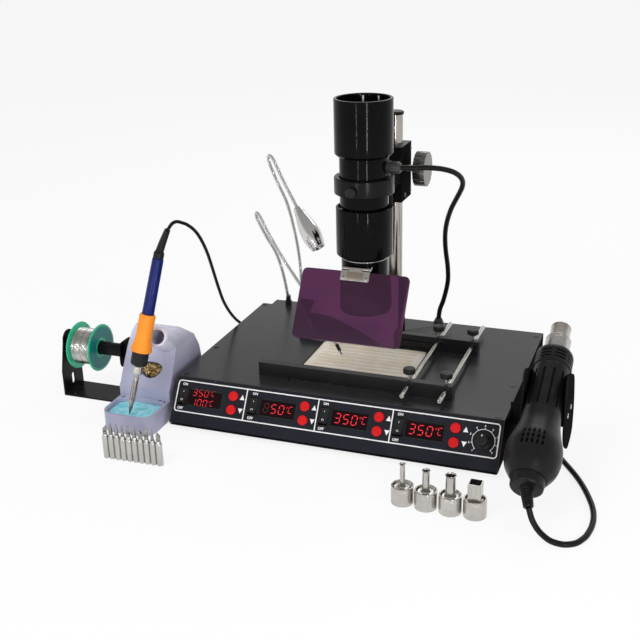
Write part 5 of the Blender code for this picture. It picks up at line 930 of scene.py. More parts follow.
# rows: digits, rise above the middle, height
displayLook = {"width": 0.0445, "height": 0.0204, "face": -0.0003, "edge": 0.0007, "rows": (
    (("350", 0.0024, 0.0078), ("100", -0.0092, 0.0078)),
    (("850", -0.0050, 0.0100),), (("350", -0.0050, 0.0105),), (("350", -0.0050, 0.0105),))}


def makeDisplays(look):
    glass = surface("display window", (0.010, 0.0025, 0.004), 0.16, shade=0.2, level=0.10,
                    grain=(300.0, 0.000003))
    glow = Paint("lit digits")
    wide = glow.noise(glow.at, 500.0, 2.0)
    red = glow.mix(wide, (0.62, 0.008, 0.016), (0.78, 0.022, 0.034))
    glow.feed(Base_Color=red, Roughness=wide * 0.1 + 0.3, Emission_Color=red, Emission_Strength=0.6)
    faint = surface("unlit digits", (0.060, 0.010, 0.016), 0.3, shade=0.1)
    Shape().node("control_board").piece("controlBoard", "station", surface("board green", (0.02, 0.11, 0.05),
            0.5, speck=0.3), "control_board", "board_green")
    face = Shape(panelFrame)
    digits = Shape(panelFrame)
    edge = look["edge"]
    for number, (x, rows) in enumerate(zip(panel["displays"], look["rows"])):
        w, h = look["width"] / 2 - 0.0005, look["height"] / 2 - 0.0005
        y = panel["row"]
        face.box((x - w, y - h, look["face"] + 0.00002), (x + w, y + h, look["face"] + 0.00012))
        # a slim frame shows round each window
        for low, high in (((-w, -h), (w, -h + edge)), ((-w, h - edge), (w, h)), ((-w, -h), (-w + edge, h)),
                          ((w - edge, -h), (w, h))):
            face.box((x + low[0], y + low[1], look["face"]), (x + high[0], y + high[1],
                    look["face"] + 0.00035), mat=1)
        for text, rise, high in rows:
            pitch = high * 0.93
            start = x - w + (0.0042 if len(rows) == 1 else 0.0055)
            lift = look["face"] + 0.00014
            for k, letter in enumerate(text):
                unlit = 1 if number == 1 and k == 0 else 0   # one digit of the second display is faint
                segmentDigit(digits, letter, start + k * pitch, y + rise, high, unlit, lift)
            small = high * 0.74
            at = start + 3 * pitch
            segmentDigit(digits, "o", at - small * 0.04, y + rise + high - small * 0.50, small * 0.42, 0,
                         lift)
            segmentDigit(digits, "C", at + small * 0.36, y + rise + high - small, small, 0, lift)
    face.piece("displayWindows", "station", [glass, plasticBlack], (), "gloss_black")
    digits.piece("displayDigits", "station", [glow.material, faint], (), "button_red")


def makeControls():
    red = surface("button red", (0.58, 0.007, 0.010), 0.30, shade=0.10, grain=(1200.0, 0.00001), level=0.22,
                  wear=0.04, wearColour=(0.70, 0.10, 0.08))
    for number, x in enumerate(panel["buttons"], 1):
        for word, y in zip(("up", "down"), panel["rows"]):
            place = panelFrame @ shift((x, y, 0))
            shape = Shape(place)
            shape.lathe([(0, -0.0049), (0.0058, -0.0049), (0.0058, 0.0012), (0.0054, 0.0020),
                         (0.0040, 0.00245), (0.0020, 0.0026), (0, 0.0026)], 48, soft=0.0004)
            shape.piece(f"{word}Button{number}", f"{word}_button_{number}", red, f"{word}_button_{number}",
                        "button_red", sharp=50)
    rocker = surface("rocker black", (0.009, 0.009, 0.010), 0.26, level=0.4, grain=(2000.0, 0.00002),
                     wear=0.05)
    for number, x in enumerate(panel["switches"], 1):
        tilt = panelFrame @ shift((x, panel["row"], -0.002)) @ spin(-0.20, "X")
        shape = Shape().node(f"power_switch_{number}")
        marks = Shape(tilt)
        crown = 0.0042
        for word, sign in (("I", 1), ("O", -1)):
            spot = shift((0, sign * 0.0052, crown * 0.75)) @ spin(sign * 0.10, "X")
            marks.text(word, 0.0036, spot, weight=0.00006, thick=0.00012)
        shape.shape(marks, mat=1)
        shape.piece(f"rocker{number}", f"power_switch_{number}", [rocker, printPaint],
                    f"power_switch_{number}", "gloss_black", bevel=0.00025)
    place = panelFrame @ shift((*panel["dial"], 0))
    shape = Shape(place)
    skirt, cap = 0.0095, 0.0062

    def flutes(angle, height):
        return 1 - 0.07 * max(0.0, cos(12 * angle)) ** 3 if height > 0.004 else 1

    shape.lathe([(0, -0.011), (0.003, -0.011), (0.003, 0.0005), (skirt, 0.0005), (skirt, 0.0018),
                 (skirt * 0.90, 0.0030), (cap * 1.14, 0.0036), (cap * 1.04, 0.0046), (cap, 0.0132),
                 (cap * 0.9, 0.0144), (cap * 0.5, 0.0145), (0, 0.0145)], 96, soft=0.0004, squash=flutes)
    shape.box((-0.0004, cap * 0.35, 0.0144), (0.0004, cap * 0.86, 0.01448), mat=1)
    shape.piece("airKnob", "airflow_knob", [plasticBlack, printPaint], "airflow_knob", "knob_black", sharp=40)


makePanel(panel)
makeDisplays(displayLook)
makeControls()
print("front panel made")


# board holder

holder = {"rods": (0.079, 0.1215), "rodZ": 0.065, "top": 0.0716, "threads": 9}


def makeBoardHolder(look):
    for node, name, y, inward in (("front_jaw", "frontBar", 0.030, 1), ("rear_jaw", "rearBar", 0.160, -1)):
        shape = Shape().node(node)
        shape.piece(name, node, brushedBlack, node, "black_metal", bevel=0.0005)
        middle = 0.0045 if inward > 0 else 0.0075
        end = "front" if inward > 0 else "rear"
        for word, x in zip(("left", "right"), look["rods"]):
            place = desk @ shift((x, y + middle, look["top"]))
            screw = Shape(place)
            base = look["rodZ"] + 0.0028 + 0.0003 - look["top"]
            screw.rod(0.0018, base, 0.0078, 24, mat=1, soft=0.0001)
            for k in range(look["threads"]):
                z = 0.0004 + k * 0.0008
                screw.lathe([(0.0017, z), (0.00188, z + 0.0003), (0.0017, z + 0.0006)], 24, mat=1)
            screw.lathe([(0, 0.0079), (0.0058, 0.0079), (0.0070, 0.0090), (0.0070, 0.0136), (0.0060, 0.0144),
                         (0.0030, 0.0145), (0, 0.0145)], 112, soft=0.0005,
                        squash=ribbed(28, 0.035, 0.009, 0.0137))
            body = f"{end}_{word}_screw"
            screw.piece(f"{end}{word.capitalize()}Screw", body, [plasticBlack, steelPaint], body,
                        "gloss_black", sharp=40)
    for word, x in zip(("left", "right"), look["rods"]):
        shape = Shape(desk @ shift((x, 0, look["rodZ"])) @ spin(-pi / 2, "X"))
        shape.lathe([(0, 0.0049), (0.0010, 0.0049), (0.0012, 0.0035), (0.0022, 0.0035), (0.0028, 0.0041),
                     (0.0028, 0.2284), (0.0022, 0.2290), (0, 0.2290)], 32, soft=0.0002)
        shape.piece(f"{word}Rod", "station", steelPaint, f"{word}_guide_rod", "steel", sharp=35)


makeBoardHolder(holder)
print("board holder made")


# column, carriage and height knob

column = {"x": 0.0095, "y": 0.210, "radius": 0.010, "top": 0.3385, "rackLow": 0.205, "pinionZ": 0.2745,
          "module": 0.0012}


def makeColumn(look):
    place = desk @ shift((look["x"], look["y"], 0))
    base, r, top = 0.0558, look["radius"], look["top"]
    shape = Shape(place)
    shape.rod(r, base + 0.002, top - 0.0035, 64, soft=0.0003)
    shape.lathe([(0, base), (0.014, base), (0.014, base + 0.018), (r + 0.0002, base + 0.018),
                 (0, base + 0.018)], 64, mat=1, soft=0.0008)
    shape.lathe([(0, top - 0.004), (r * 1.12, top - 0.004), (r * 1.12, top - 0.0008), (r * 0.95, top),
                 (0, top)], 64, mat=1, soft=0.0005)
    # the rack: straight teeth as in the carriage's own pinion
    pitch, step = pi * look["module"], look["module"]
    line = -r - 0.0032 + 0.8 * step
    points = [(-r + 0.0016, look["rackLow"]), (line + 1.1 * step, look["rackLow"])]
    tip = pitch / 4 - 0.00014 - 0.8 * step * tan(pi / 9)
    foot = pitch / 4 - 0.00014 + 1.1 * step * tan(pi / 9)
    first = int((look["rackLow"] - look["pinionZ"]) / pitch)
    last = int((top - 0.006 - look["pinionZ"]) / pitch)
    for k in range(first + 1, last - 1):
        z = look["pinionZ"] + (k + 0.5) * pitch
        points += [(line + 1.1 * step, z - foot), (line - 0.8 * step, z - tip), (line - 0.8 * step, z + tip),
                   (line + 1.1 * step, z + foot)]
    points += [(line + 1.1 * step, top - 0.006), (-r + 0.0016, top - 0.006)]
    shape.prism(points, -0.0035, 0.0035, None, 2, "X")
    shape.lathe([(0, 0), (0.0022, 0), (0.0022, 0.003), (0.0014, 0.0036), (0, 0.0036)], 20,
                shift((-0.0138, 0, base + 0.009)) @ spin(-pi / 2, "Y"), 2)
    shape.piece("chromePole", "station", [columnPaint, blackMetal, darkSteel], "column", "chrome", sharp=35)


def makeCarriage(look):
    def flank(p):
        return 1 if p.x > look["x"] + 0.0165 else 0

    shape = Shape().node("carriage", rule=flank)
    shape.piece("carriageBlock", "lamp", [blackMetal, mattBlack], "carriage", "black_metal", bevel=0.0008)
    place = desk @ shift((look["x"], look["y"], 0))
    extra = Shape(place)
    # hexagon recess screws on the carriage's right face and the clamp screw of the arm
    for y, z in ((-0.018, 0.2410), (0.006, 0.2410), (0.006, 0.2930)):
        spot = shift((0.0169, y, z)) @ spin(pi / 2, "Y")
        extra.lathe([(0, 0), (0.0026, 0), (0.0026, 0.0018), (0.0022, 0.0022), (0.0013, 0.0022),
                     (0.0013, 0.0008), (0, 0.0008)], 24, spot, 0, soft=0.0002)
    extra.piece("carriageScrews", "lamp", darkSteel, (), "gunmetal")

    def region(p):
        if p.x > look["x"] + 0.0325:
            return 0
        return 1 if p.x > look["x"] + 0.004 else 2

    shape = Shape().node("height_knob", rule=region)
    shape.piece("heightKnob", "height_knob", [surface("knob gunmetal", (0.15, 0.14, 0.13), 0.28, 0.95,
                brush=(60.0, 900.0, 900.0), wear=0.25, wearColour=(0.45, 0.42, 0.38)), brassPaint, darkSteel],
                "height_knob", "gunmetal", bevel=0.0003)
    pinionY = -0.010 - 0.0032 + 0.8 * look["module"] - 6 * look["module"]
    cap = Shape(place @ shift((0.047, pinionY, look["pinionZ"])) @ spin(pi / 2, "Y"))
    cap.lathe([(0.0050, -0.0006), (0.0150, -0.0006), (0.0150, 0.0), (0.0138, 0.0), (0.0130, -0.00025),
               (0.0070, -0.00025), (0.0062, 0.0), (0.0050, 0.0)], 64, closed=True, soft=0.0001)
    cap.rod(0.0046, -0.0004, 0.0, 40, mat=1, soft=0.0001)
    cap.piece("heightKnobFace", "height_knob", [mattBlack, darkSteel], (), "gunmetal")


makeColumn(column)
makeCarriage(column)
print("column made")


# lamp

lamp = {"shadeRadius": 0.0328, "shadeWall": 0.0034, "shadeLow": 0.3103, "shadeHeight": 0.0631, "tube": 0.0276,
        "collar": 0.0338, "collarLow": 0.2685, "collarHeight": 0.0188, "barrel": 0.0323, "barrelLow": 0.1961,
        "barrelHeight": 0.0565, "nose": 0.0268, "noseLow": 0.130}
lampFrame = desk @ shift((0.0095, 0.0908, 0))
hingeLook = {"y": 0.0605, "z": 0.1872, "reach": 0.034 * 0.21}   # reach: half the middle knuckle


def makeLampHead(look):
    r, wall, low = look["shadeRadius"], look["shadeWall"], look["shadeLow"]
    top = low + look["shadeHeight"]
    shape = Shape(lampFrame)
    shape.lathe([(0, low), (r - 0.003, low), (r, low + 0.003), (r, top), (r - wall, top),
                 (r - wall, low + wall), (0, low + wall)], 128, soft=0.0008)
    # inside: a terminal block with two screws, and ribs on the wall
    shape.box((-0.012, -0.006, low + wall), (0.012, 0.006, low + wall + 0.009), mat=1, soft=0.0008)
    for x in (-0.006, 0.006):
        crossHead(shape, 0.0025, shift((x, 0, low + wall + 0.009)), 2, 2)
    for turn in (1.25, 1.9):
        shape.box((r - wall - 0.0016, -0.0012, low + wall), (r - wall + 0.0002, 0.0012, top - 0.002),
                  spin(turn, "Z"), 2, soft=0.0004)
    shape.piece("lampShade", "lamp", [glossPaint, surface("terminal ceramic", (0.62, 0.58, 0.50), 0.6),
                                      steelPaint], "lamp_shade", "gloss_black", sharp=35)

    t = look["tube"]
    shape = Shape(lampFrame)
    shape.lathe([(t - 0.0025, 0.2529), (t, 0.2529), (t, 0.3100), (t - 0.0025, 0.3100)], 128, closed=True,
                soft=0.0004)
    # cable gland with its ribbed nut
    side = shift((0, 0, 0.2982)) @ spin(pi / 2, "Y")
    shape.lathe([(0, t - 0.001), (0.0076, t - 0.001), (0.0076, t + 0.0030), (0.0064, t + 0.0034),
                 (0, t + 0.0034)], 6, side, 1, soft=0.0004)
    shape.lathe([(0, t + 0.0034), (0.0068, t + 0.0034), (0.0068, t + 0.0118), (0.0056, t + 0.0146),
                 (0.0036, t + 0.0157), (0, t + 0.0157)], 108, side, 1, soft=0.0005, squash=ribbed(18, 0.055))
    glandPaint = surface("gland grey", (0.030, 0.030, 0.033), 0.32, shade=0.12, level=0.35)
    shape.piece("lampTube", "lamp", [glossPaint, glandPaint], "lamp_tube", "gloss_black", sharp=35)

    c, low, high = look["collar"], look["collarLow"], look["collarLow"] + look["collarHeight"]
    shape = Shape(lampFrame)
    shape.lathe([(t + 0.0003, low), (c - 0.0006, low), (c, low + 0.0006), (c, high - 0.0010),
                 (c - 0.0010, high), (t + 0.0013, high), (t + 0.0003, high - 0.0010)], 128, closed=True,
                soft=0.0003)
    shape.piece("lampCollar", "lamp", surface("satin black", (0.0045, 0.0045, 0.005), 0.22, level=0.14,
                                              wear=0.06, dust=0.02, grain=(1800.0, 0.00001)), "lamp_collar",
                "gloss_black")
    turn = 0.090
    outward = Vector((-sin(turn), -cos(turn), 0))
    middle = Vector((0, 0, low + look["collarHeight"] / 2 - 0.002))
    screw = Shape(lampFrame @ along(outward, middle + outward * c))
    screw.rod(0.0018, -0.0056, 0.0003, 20, mat=1)
    screw.lathe([(0, 0.0003), (0.0054, 0.0003), (0.0060, 0.0009), (0.0060, 0.0047), (0.0052, 0.0055),
                 (0.0030, 0.0053), (0, 0.0053)], 96, soft=0.0003, squash=ribbed(24, 0.03, 0.0008, 0.0049))
    screw.piece("collarScrew", "collar_screw", [plasticBlack, steelPaint], "collar_screw", "black_metal",
                sharp=40)

    b, low = look["barrel"], look["barrelLow"]
    top, nose = low + look["barrelHeight"], look["nose"]
    shape = Shape(lampFrame)
    shape.lathe([(0.0093, top - 0.0030), (t - 0.0004, top - 0.0030), (t + 0.0016, top - 0.0030),
                 (t + 0.0022, top), (b - 0.0006, top), (b, top - 0.0006), (b, low + 0.002), (b - 0.002, low),
                 (nose + 0.0002, low), (nose, low - 0.0008), (nose, look["noseLow"]),
                 (nose - 0.0022, look["noseLow"]), (nose - 0.0022, low + 0.0028), (b - 0.0028, low + 0.0028),
                 (b - 0.0028, top - 0.0056), (0.0093, top - 0.0056)], 128, closed=True, soft=0.0004)
    # a polished retaining ring sits under the barrel
    shape.lathe([(nose - 0.0001, low - 0.0030), (nose + 0.0004, low - 0.0028), (nose + 0.0004, low - 0.0021),
                 (nose - 0.0001, low - 0.0019)], 96, mat=1)
    hinge = shift((0, -0.0303, hingeLook["z"]))
    reach = hingeLook["reach"]
    for a, z in ((-0.017, -reach - 0.0003), (reach + 0.0003, 0.017)):
        shape.rod(0.0021, a, z, 24, hinge @ spin(pi / 2, "Y"), 1, soft=0.0002)
        shape.box((a, 0, -0.0012), (z, 0.0303 - nose * 0.72, 0.0021), hinge, 1, soft=0.0003)
    shape.piece("lampBarrel", "lamp", [glossPaint, steelPaint], "lamp_barrel", "gloss_black", sharp=35)

    bulb = Shape(lampFrame)
    foot = low - 0.0375
    bulb.lathe([(0, foot), (0.0171, foot), (0.019, foot + 0.00475), (0.019, foot + 0.0525),
                (0.0145, foot + 0.0650), (0.009, foot + 0.075), (0.009, top + 0.009), (0, top + 0.009)], 64,
               soft=0.002)
    glass = surface("bulb glass", (0.34, 0.05, 0.035), 0.12, shade=0.15, coat=0.4, level=0.5, patch=60.0)
    bulb.piece("infraredBulb", "lamp", glass, "ir_bulb", "bulb_glass", sharp=60)


makeLampHead(lamp)
print("lamp made")


# filter

filterLook = {"width": 0.1265, "height": 0.0817, "thick": 0.003, "corner": 0.006, "tilt": -0.566}
glassFrame = desk @ shift((0.0095, hingeLook["y"], hingeLook["z"])) @ spin(filterLook["tilt"], "X")


def makeFilter(look):
    glass = Paint("filter glass")
    haze = glass.noise(glass.at, 14.0, 3.0, 0.5)
    tint = glass.mix(haze.step(0.3, 0.7), (0.078, 0.022, 0.072), (0.112, 0.027, 0.090))
    marks = glass.noise(glass.turned((500.0, 90.0, 40.0), glassFrame), 1.0, 5.0, 0.7).step(0.70, 0.78)
    glass.feed(Base_Color=tint, Roughness=marks * 0.12 + haze * 0.02 + 0.02, Transmission_Weight=0.74,
               IOR=1.40, Specular_IOR_Level=0.25, Normal=glass.bump(haze, 0.00003))
    leafTop = 0.0021 + 0.0005 + 0.0006
    face = -0.0021 + 0.0012 + 0.0003
    shape = Shape(glassFrame)
    shape.prism(roundedBox(-look["width"] / 2, -leafTop - look["height"], look["width"] / 2, -leafTop,
                           look["corner"], 8), face, face + look["thick"], None, 0, "Y", soft=0.0005)
    shape.piece("filterGlass", "filter", glass.material, "filter_glass", "filter_glass", sharp=40)
    clip = Shape(glassFrame)
    reach = hingeLook["reach"]
    clip.rod(0.0021, -reach, reach, 24, spin(pi / 2, "Y"), 0,
               soft=0.0002)
    clip.prism(roundedBox(-0.017, -0.0145, 0.017, -0.0026, 0.0012, 4), -0.0021, -0.0009, None, 0, "Y",
               soft=0.0003)
    clip.box((-reach, -0.0021, -0.0032), (reach, -0.0009, 0), soft=0.0002)
    clip.prism(roundedBox(-0.0095, -0.0126, 0.0095, -0.0042, 0.001, 4), -0.0026, -0.0020, None, 1, "Y",
               soft=0.0002)
    for x in (-0.0132, 0.0132):
        crossHead(clip, 0.0022, shift((x, -0.0021, -0.0106)) @ spin(pi / 2, "X"), 0, 2, 0.0006)
    clip.piece("filterClip", "filter", [nickelPaint, surface("clip plate", (0.40, 0.34, 0.27), 0.22, 1.0,
                wear=0.3, brush=(30.0, 900.0, 900.0)), darkSteel], "filter_clip", "steel", sharp=40)


makeFilter(filterLook)
print("filter made")


# goosenecks

necks = {"led": {"node": "led_gooseneck", "radius": 0.0024, "pitch": 0.0021,
                 "route": ((-0.1368, 0.2600, 0.0645), (-0.1368, 0.2590, 0.0790), (-0.1371, 0.2570, 0.1013),
                           (-0.1372, 0.2550, 0.1206), (-0.1380, 0.2525, 0.1385), (-0.1395, 0.2500, 0.1555),
                           (-0.1420, 0.2472, 0.1745), (-0.1452, 0.2448, 0.1928), (-0.1495, 0.2430, 0.2093),
                           (-0.1560, 0.2410, 0.2256), (-0.1635, 0.2393, 0.2440), (-0.1680, 0.2368, 0.2590),
                           (-0.1668, 0.2322, 0.2690), (-0.1598, 0.2270, 0.2692), (-0.1525, 0.2222, 0.2600),
                           (-0.1445, 0.2180, 0.2477), (-0.1335, 0.2130, 0.2313), (-0.1245, 0.2085, 0.2190),
                           (-0.1190, 0.2053, 0.2118))}, "sensor": {"node": "sensor_gooseneck",
        "radius": 0.0024, "pitch": 0.0021, "route": ((-0.1583, 0.2600, 0.0645), (-0.1583, 0.2560, 0.0760),
            (-0.1603, 0.2520, 0.0978), (-0.1641, 0.2490, 0.1186), (-0.1690, 0.2460, 0.1355),
            (-0.1778, 0.2430, 0.1530), (-0.1855, 0.2400, 0.1703), (-0.1900, 0.2370, 0.1835),
            (-0.1880, 0.2325, 0.1915), (-0.1805, 0.2270, 0.1890), (-0.1695, 0.2195, 0.1750),
            (-0.1540, 0.2105, 0.1572), (-0.1356, 0.1990, 0.1390), (-0.1173, 0.1865, 0.1245),
            (-0.1000, 0.1740, 0.1120), (-0.0810, 0.1575, 0.0990), (-0.0620, 0.1380, 0.0860),
            (-0.0450, 0.1210, 0.0760), (-0.0340, 0.1110, 0.0690))}, }


def makeNeck(name, look):
    # close coils: the tube's radius rises and falls once per coil
    step = look["pitch"] / 5
    path = smoothRoute(look["route"], step)
    radii = [look["radius"] * (0.86 + 0.14 * abs(sin(pi * k / 5))) for k in range(len(path))]
    shape = Shape(desk)
    shape.tube(path, radii, 14, 0)
    x, y, z = look["route"][0]
    low = shift((x, y, 0))
    shape.rod(0.0045, 0.0558, 0.0618, 6, low, 1, soft=0.0004)
    shape.lathe([(0, 0.0612), (0.0034, 0.0612), (0.0032, z + 0.0044), (0.0026, z + 0.0050), (0, z + 0.0050)],
                32, low, 1, soft=0.0004)
    if name == "sensor":
        sleeve = smoothRoute([look["route"][-1], (-0.0315, 0.1090, 0.0665), (-0.0290, 0.1070, 0.0640)],
                             0.0008)
        shape.tube(sleeve, [0.0023 if k < 3 else 0.0021 for k in range(len(sleeve))], 16, 1)
        rod = smoothRoute([(-0.0290, 0.1070, 0.0640), (-0.0272, 0.1057, 0.0617), (-0.0255, 0.1045, 0.0595)],
                          0.0006)
        shape.tube(rod, [0.0011 * (1 if k < len(rod) - 1 else 0.5) for k in range(len(rod))], 16, 2)
    nutPaint = chromePaint if name == "led" else plasticBlack
    shape.piece(name + "Gooseneck", "station", [chromePaint, nutPaint, steelPaint], look["node"], "chrome",
                sharp=45)


ledHead = {"length": 0.061, "profile": ((0.0, 0.10), (0.03, 0.115), (0.16, 0.145), (0.32, 0.20),
                                        (0.50, 0.245), (0.68, 0.262), (0.82, 0.245), (0.94, 0.205),
                                        (1.0, 0.19))}


def makeLedHead(look):
    route = necks["led"]["route"]
    tail = Vector(route[-1])
    ahead = (tail - Vector(route[-2])).normalized()
    ahead = (ahead + Vector((0.03, -0.02, 0))).normalized()
    size = look["length"]
    outline = smoothRoute([(share * size, radius * size * 0.8, 0) for share, radius in look["profile"]],
                          0.0016)
    profile = [(0, 0)] + [(p.y, p.x) for p in outline]
    rim = profile[-1][0]
    profile += [(rim - 0.0014, size), (rim * 0.80, size - 0.006), (0, size - 0.006)]
    shape = Shape(desk @ along(ahead, tail + ahead * 0.0006))
    shape.lathe(profile, 64, soft=0.0002)
    for at in (0.135, 0.90):
        reach = next(p.y for p in outline if p.x > at * size)
        shape.lathe([(reach * 0.99, at * size), (reach + 0.00035, at * size + 0.0003),
                     (reach + 0.00035, at * size + 0.0011), (reach * 0.985, at * size + 0.0015)], 64)
    shape.lathe([(0, size - 0.0058), (rim * 0.76, size - 0.0058), (rim * 0.70, size - 0.0040),
                 (rim * 0.4, size - 0.0028), (0, size - 0.0025)], 48, mat=1, soft=0.0004)
    lens = surface("lens", (0.72, 0.72, 0.70), 0.08, level=0.6, coat=0.4, shade=0.06)
    shape.piece("ledHead", "station", [chromePaint, lens], "led_head", "chrome", sharp=45)


for neckName, neckLook in necks.items():
    makeNeck(neckName, neckLook)
makeLedHead(ledHead)
print("goosenecks made")


# iron stand

stand = {"left": -0.270, "width": 0.067, "trayFront": -0.060, "trayRear": -0.010, "wall": 0.0026,
         "corner": 0.015, "woolX": -0.2330, "woolZ": 0.0560, "woolWide": 0.031, "woolHigh": 0.020,
         "woolDeep": 0.024}


def makeStand():
    paint = Paint("stand plastic")
    wide = paint.noise(paint.at, 22.0, 3.0, 0.5)
    fine = paint.noise(paint.at, 700.0, 3.0, 0.6)
    height = paint.split(paint.at, 2)
    lilac = paint.mix(wide.step(0.3, 0.7), (0.36, 0.36, 0.49), (0.42, 0.42, 0.56))
    # paler towards the crown: painted light on the upper part
    pale = paint.mix(height.step(0.055, 0.100), lilac, (0.66, 0.66, 0.78))
    marks = paint.noise(paint.at, 160.0, 5.0, 0.7).step(0.64, 0.74)
    pale = paint.mix(marks * 0.12, pale, (0.24, 0.23, 0.28))
    paint.feed(Base_Color=pale, Roughness=wide * 0.15 + fine * 0.08 + 0.30, Normal=paint.bump(fine, 0.00003))
    paint.feed(Subsurface_Weight=0.25, Subsurface_Scale=0.004, Specular_IOR_Level=0.5)
    shape = Shape().node("stand_body")
    shape.piece("standBody", "station", paint.material, "stand_body", "stand_plastic", bevel=0.0010, sharp=40)

    # thin near-black plates on the tray beside the sponge: painted shade of its slots
    slots = Shape(desk)
    for x, y, turn in ((-0.2632, -0.0146, 0.69), (-0.2148, -0.0113, 0.0), (-0.2085, -0.0135, -0.72)):
        slots.prism([(0.0028 * cos(t * pi / 8), 0.0008 * sin(t * pi / 8)) for t in range(16)], 0.0238,
                    0.02405, shift((x, y, 0)) @ spin(turn, "Z"))
    slots.piece("traySlots", "station", holeShadePaint, (), "stand_plastic")


sponge = {"low": 0.0093, "rise": 0.0104, "gap": 0.0003, "fill": 0.9, "seed": 4, "rings": 26,
          "pressed": (0.2362, 0.0478, 0.0022, 0.008)}   # pressed: place under the tip, depth and reach


def makeSponge(look):
    left = stand["left"] + 0.0006 + stand["wall"] + look["gap"]
    right = stand["left"] + stand["width"] - 0.0006 - stand["wall"] - look["gap"]
    front = stand["trayFront"] + stand["wall"] + look["gap"]
    rear = stand["trayRear"] - stand["wall"] - look["gap"]
    paint = Paint("sponge")
    cells = paint.make("ShaderNodeTexVoronoi", {"feature": "F1"}, {"Vector": paint.at, "Scale": 520.0})
    big = paint.make("ShaderNodeTexVoronoi", {"feature": "F1"}, {"Vector": paint.at, "Scale": 190.0})
    soft = paint.noise(paint.at, 120.0, 4.0, 0.7)
    blue = paint.mix(soft.step(0.35, 0.65), (0.20, 0.62, 0.74), (0.42, 0.83, 0.90))
    # darker in the pores and the larger hollows: painted shade
    holes = cells.step(0.0, 0.35, 1.0, 0.0) * soft.step(0.45, 0.6)
    blue = paint.mix(holes * 0.65, blue, (0.04, 0.26, 0.40))
    deep = big.step(0.05, 0.22, 1.0, 0.0)
    blue = paint.mix(deep * 0.35, blue, (0.05, 0.30, 0.44))
    paint.feed(Base_Color=blue, Roughness=soft * 0.1 + 0.85, Subsurface_Weight=0.1, Subsurface_Scale=0.002,
               Normal=paint.bump(cells * 0.6 + big * 0.4, 0.0008))
    outline = roundedBox(left, front, right, rear, stand["corner"] - stand["wall"] - look["gap"], 10)
    rng, count = Random(look["seed"]), look["rings"]
    tipX, tipY, depth, reach = look["pressed"]
    shape = Shape(desk)
    centre = Vector(((left + right) / 2, (front + rear) / 2))
    top = look["low"] + look["rise"]
    rings = []
    for k in range(count + 1):
        share = 1 - k / count
        ring = []
        for a, b in outline:
            x, y = centre.x + (a - centre.x) * share, centre.y + (b - centre.y) * share
            press = depth * max(0.0, 1 - hypot(x + tipX, y + tipY) / reach)
            ring.append(shape.bm.verts.new((x, y, top - 0.0006 - press - rng.random() * 0.0006
                                            - (0.0007 if k == 0 else 0))))
        rings.append(ring)
    low = [shape.bm.verts.new((a, b, look["low"])) for a, b in outline]
    shape.added(shape.bridged([low] + rings) + [shape.bm.faces.new(low[::-1])])
    made = shape.piece("cleaningSponge", "station", paint.material, "sponge", "sponge_cyan", sharp=180)


wool = {"curls": 420, "seed": 11, "radius": 0.0019, "wide": 0.0006}


def makeWool(look):
    a, b = (-0.010 + 0.035 * 0.087, 0.385 * 0.103), (-0.010 + 0.425 * 0.087, 0.965 * 0.103)
    slope = Vector((0, b[0] - a[0], b[1] - a[1])).normalized()
    out = Vector((0, -slope.z, slope.y))
    spot = Vector((stand["woolX"], a[0] + (stand["woolZ"] - a[1]) * slope.y / slope.z, stand["woolZ"]))
    turn = shift(spot) @ Matrix((Vector((1, 0, 0)), slope, out)).transposed().to_4x4()
    gold = surface("brass curls", (0.86, 0.66, 0.36), 0.26, 1.0, shade=0.25, patch=260.0)
    # one curl: a flat ribbon wound once and a half
    sample = Shape()
    steps, faces, pairs = 14, [], []
    for k in range(steps + 1):
        t = 3 * pi * k / steps
        r = look["radius"] * (1 - 0.25 * k / steps)
        z = look["radius"] * 1.4 * k / steps
        pairs.append((sample.bm.verts.new((r * cos(t), r * sin(t), z)),
                      sample.bm.verts.new((r * cos(t), r * sin(t), z + look["wide"]))))
    for first, second in zip(pairs, pairs[1:]):
        faces.append(sample.bm.faces.new((first[0], second[0], second[1], first[1])))
    sample.added(faces)
    rng = Random(look["seed"])
    places, halfWide, halfHigh = [], stand["woolWide"] / 2, stand["woolHigh"] / 2
    deep, sag = stand["woolDeep"], 0.16 * stand["woolHigh"]
    while len(places) < look["curls"]:
        u, v, w = rng.uniform(-1, 1), rng.uniform(-1, 1), rng.uniform(-0.92, -0.11)
        if u * u + v * v < 0.80:
            depth = w * deep if rng.random() < 0.35 else rng.uniform(-0.32, -0.12) * deep
            places.append(desk @ turn @ Vector((u * (halfWide - 0.0016), v * (halfHigh - 0.0016) + sag * u
                                                * u, depth)))
    done = repeat("brassCurls", looseObject("curl", sample, [gold]), places, look["seed"], True, (0.6, 1.15))
    shape = Shape().mesh(done)
    # a dark plug behind the curls: painted shade in the depth of the pocket
    angles = [2 * pi * k / 40 for k in range(40)]
    inner = [((halfWide - 0.0012) * cos(t), (halfHigh - 0.0012) * sin(t) + sag * cos(t) ** 2) for t in angles]
    shape.matrix = desk @ turn
    shape.prism(inner, -deep + 0.0003, -deep * 0.36, mat=1)
    dark = surface("wool painted shade", (0.10, 0.062, 0.026), 0.8, shade=0.5, patch=400.0)
    shape.piece("brassWool", "station", [gold, dark], "brass_wool", "brass_wool", sharp=60)


makeStand()
makeSponge(sponge)
makeWool(wool)
print("stand made")


# iron

iron = {"tip": (-0.2362, -0.0478, 0.0202), "axis": (0.1650, 0.2280, 0.9596), "bootLow": 0.1954,
        "bootRadius": 0.0058, "bootMiddle": (-0.1990, -0.0026, 0.2195)}
ironFrame = desk @ along(iron["axis"], iron["tip"])


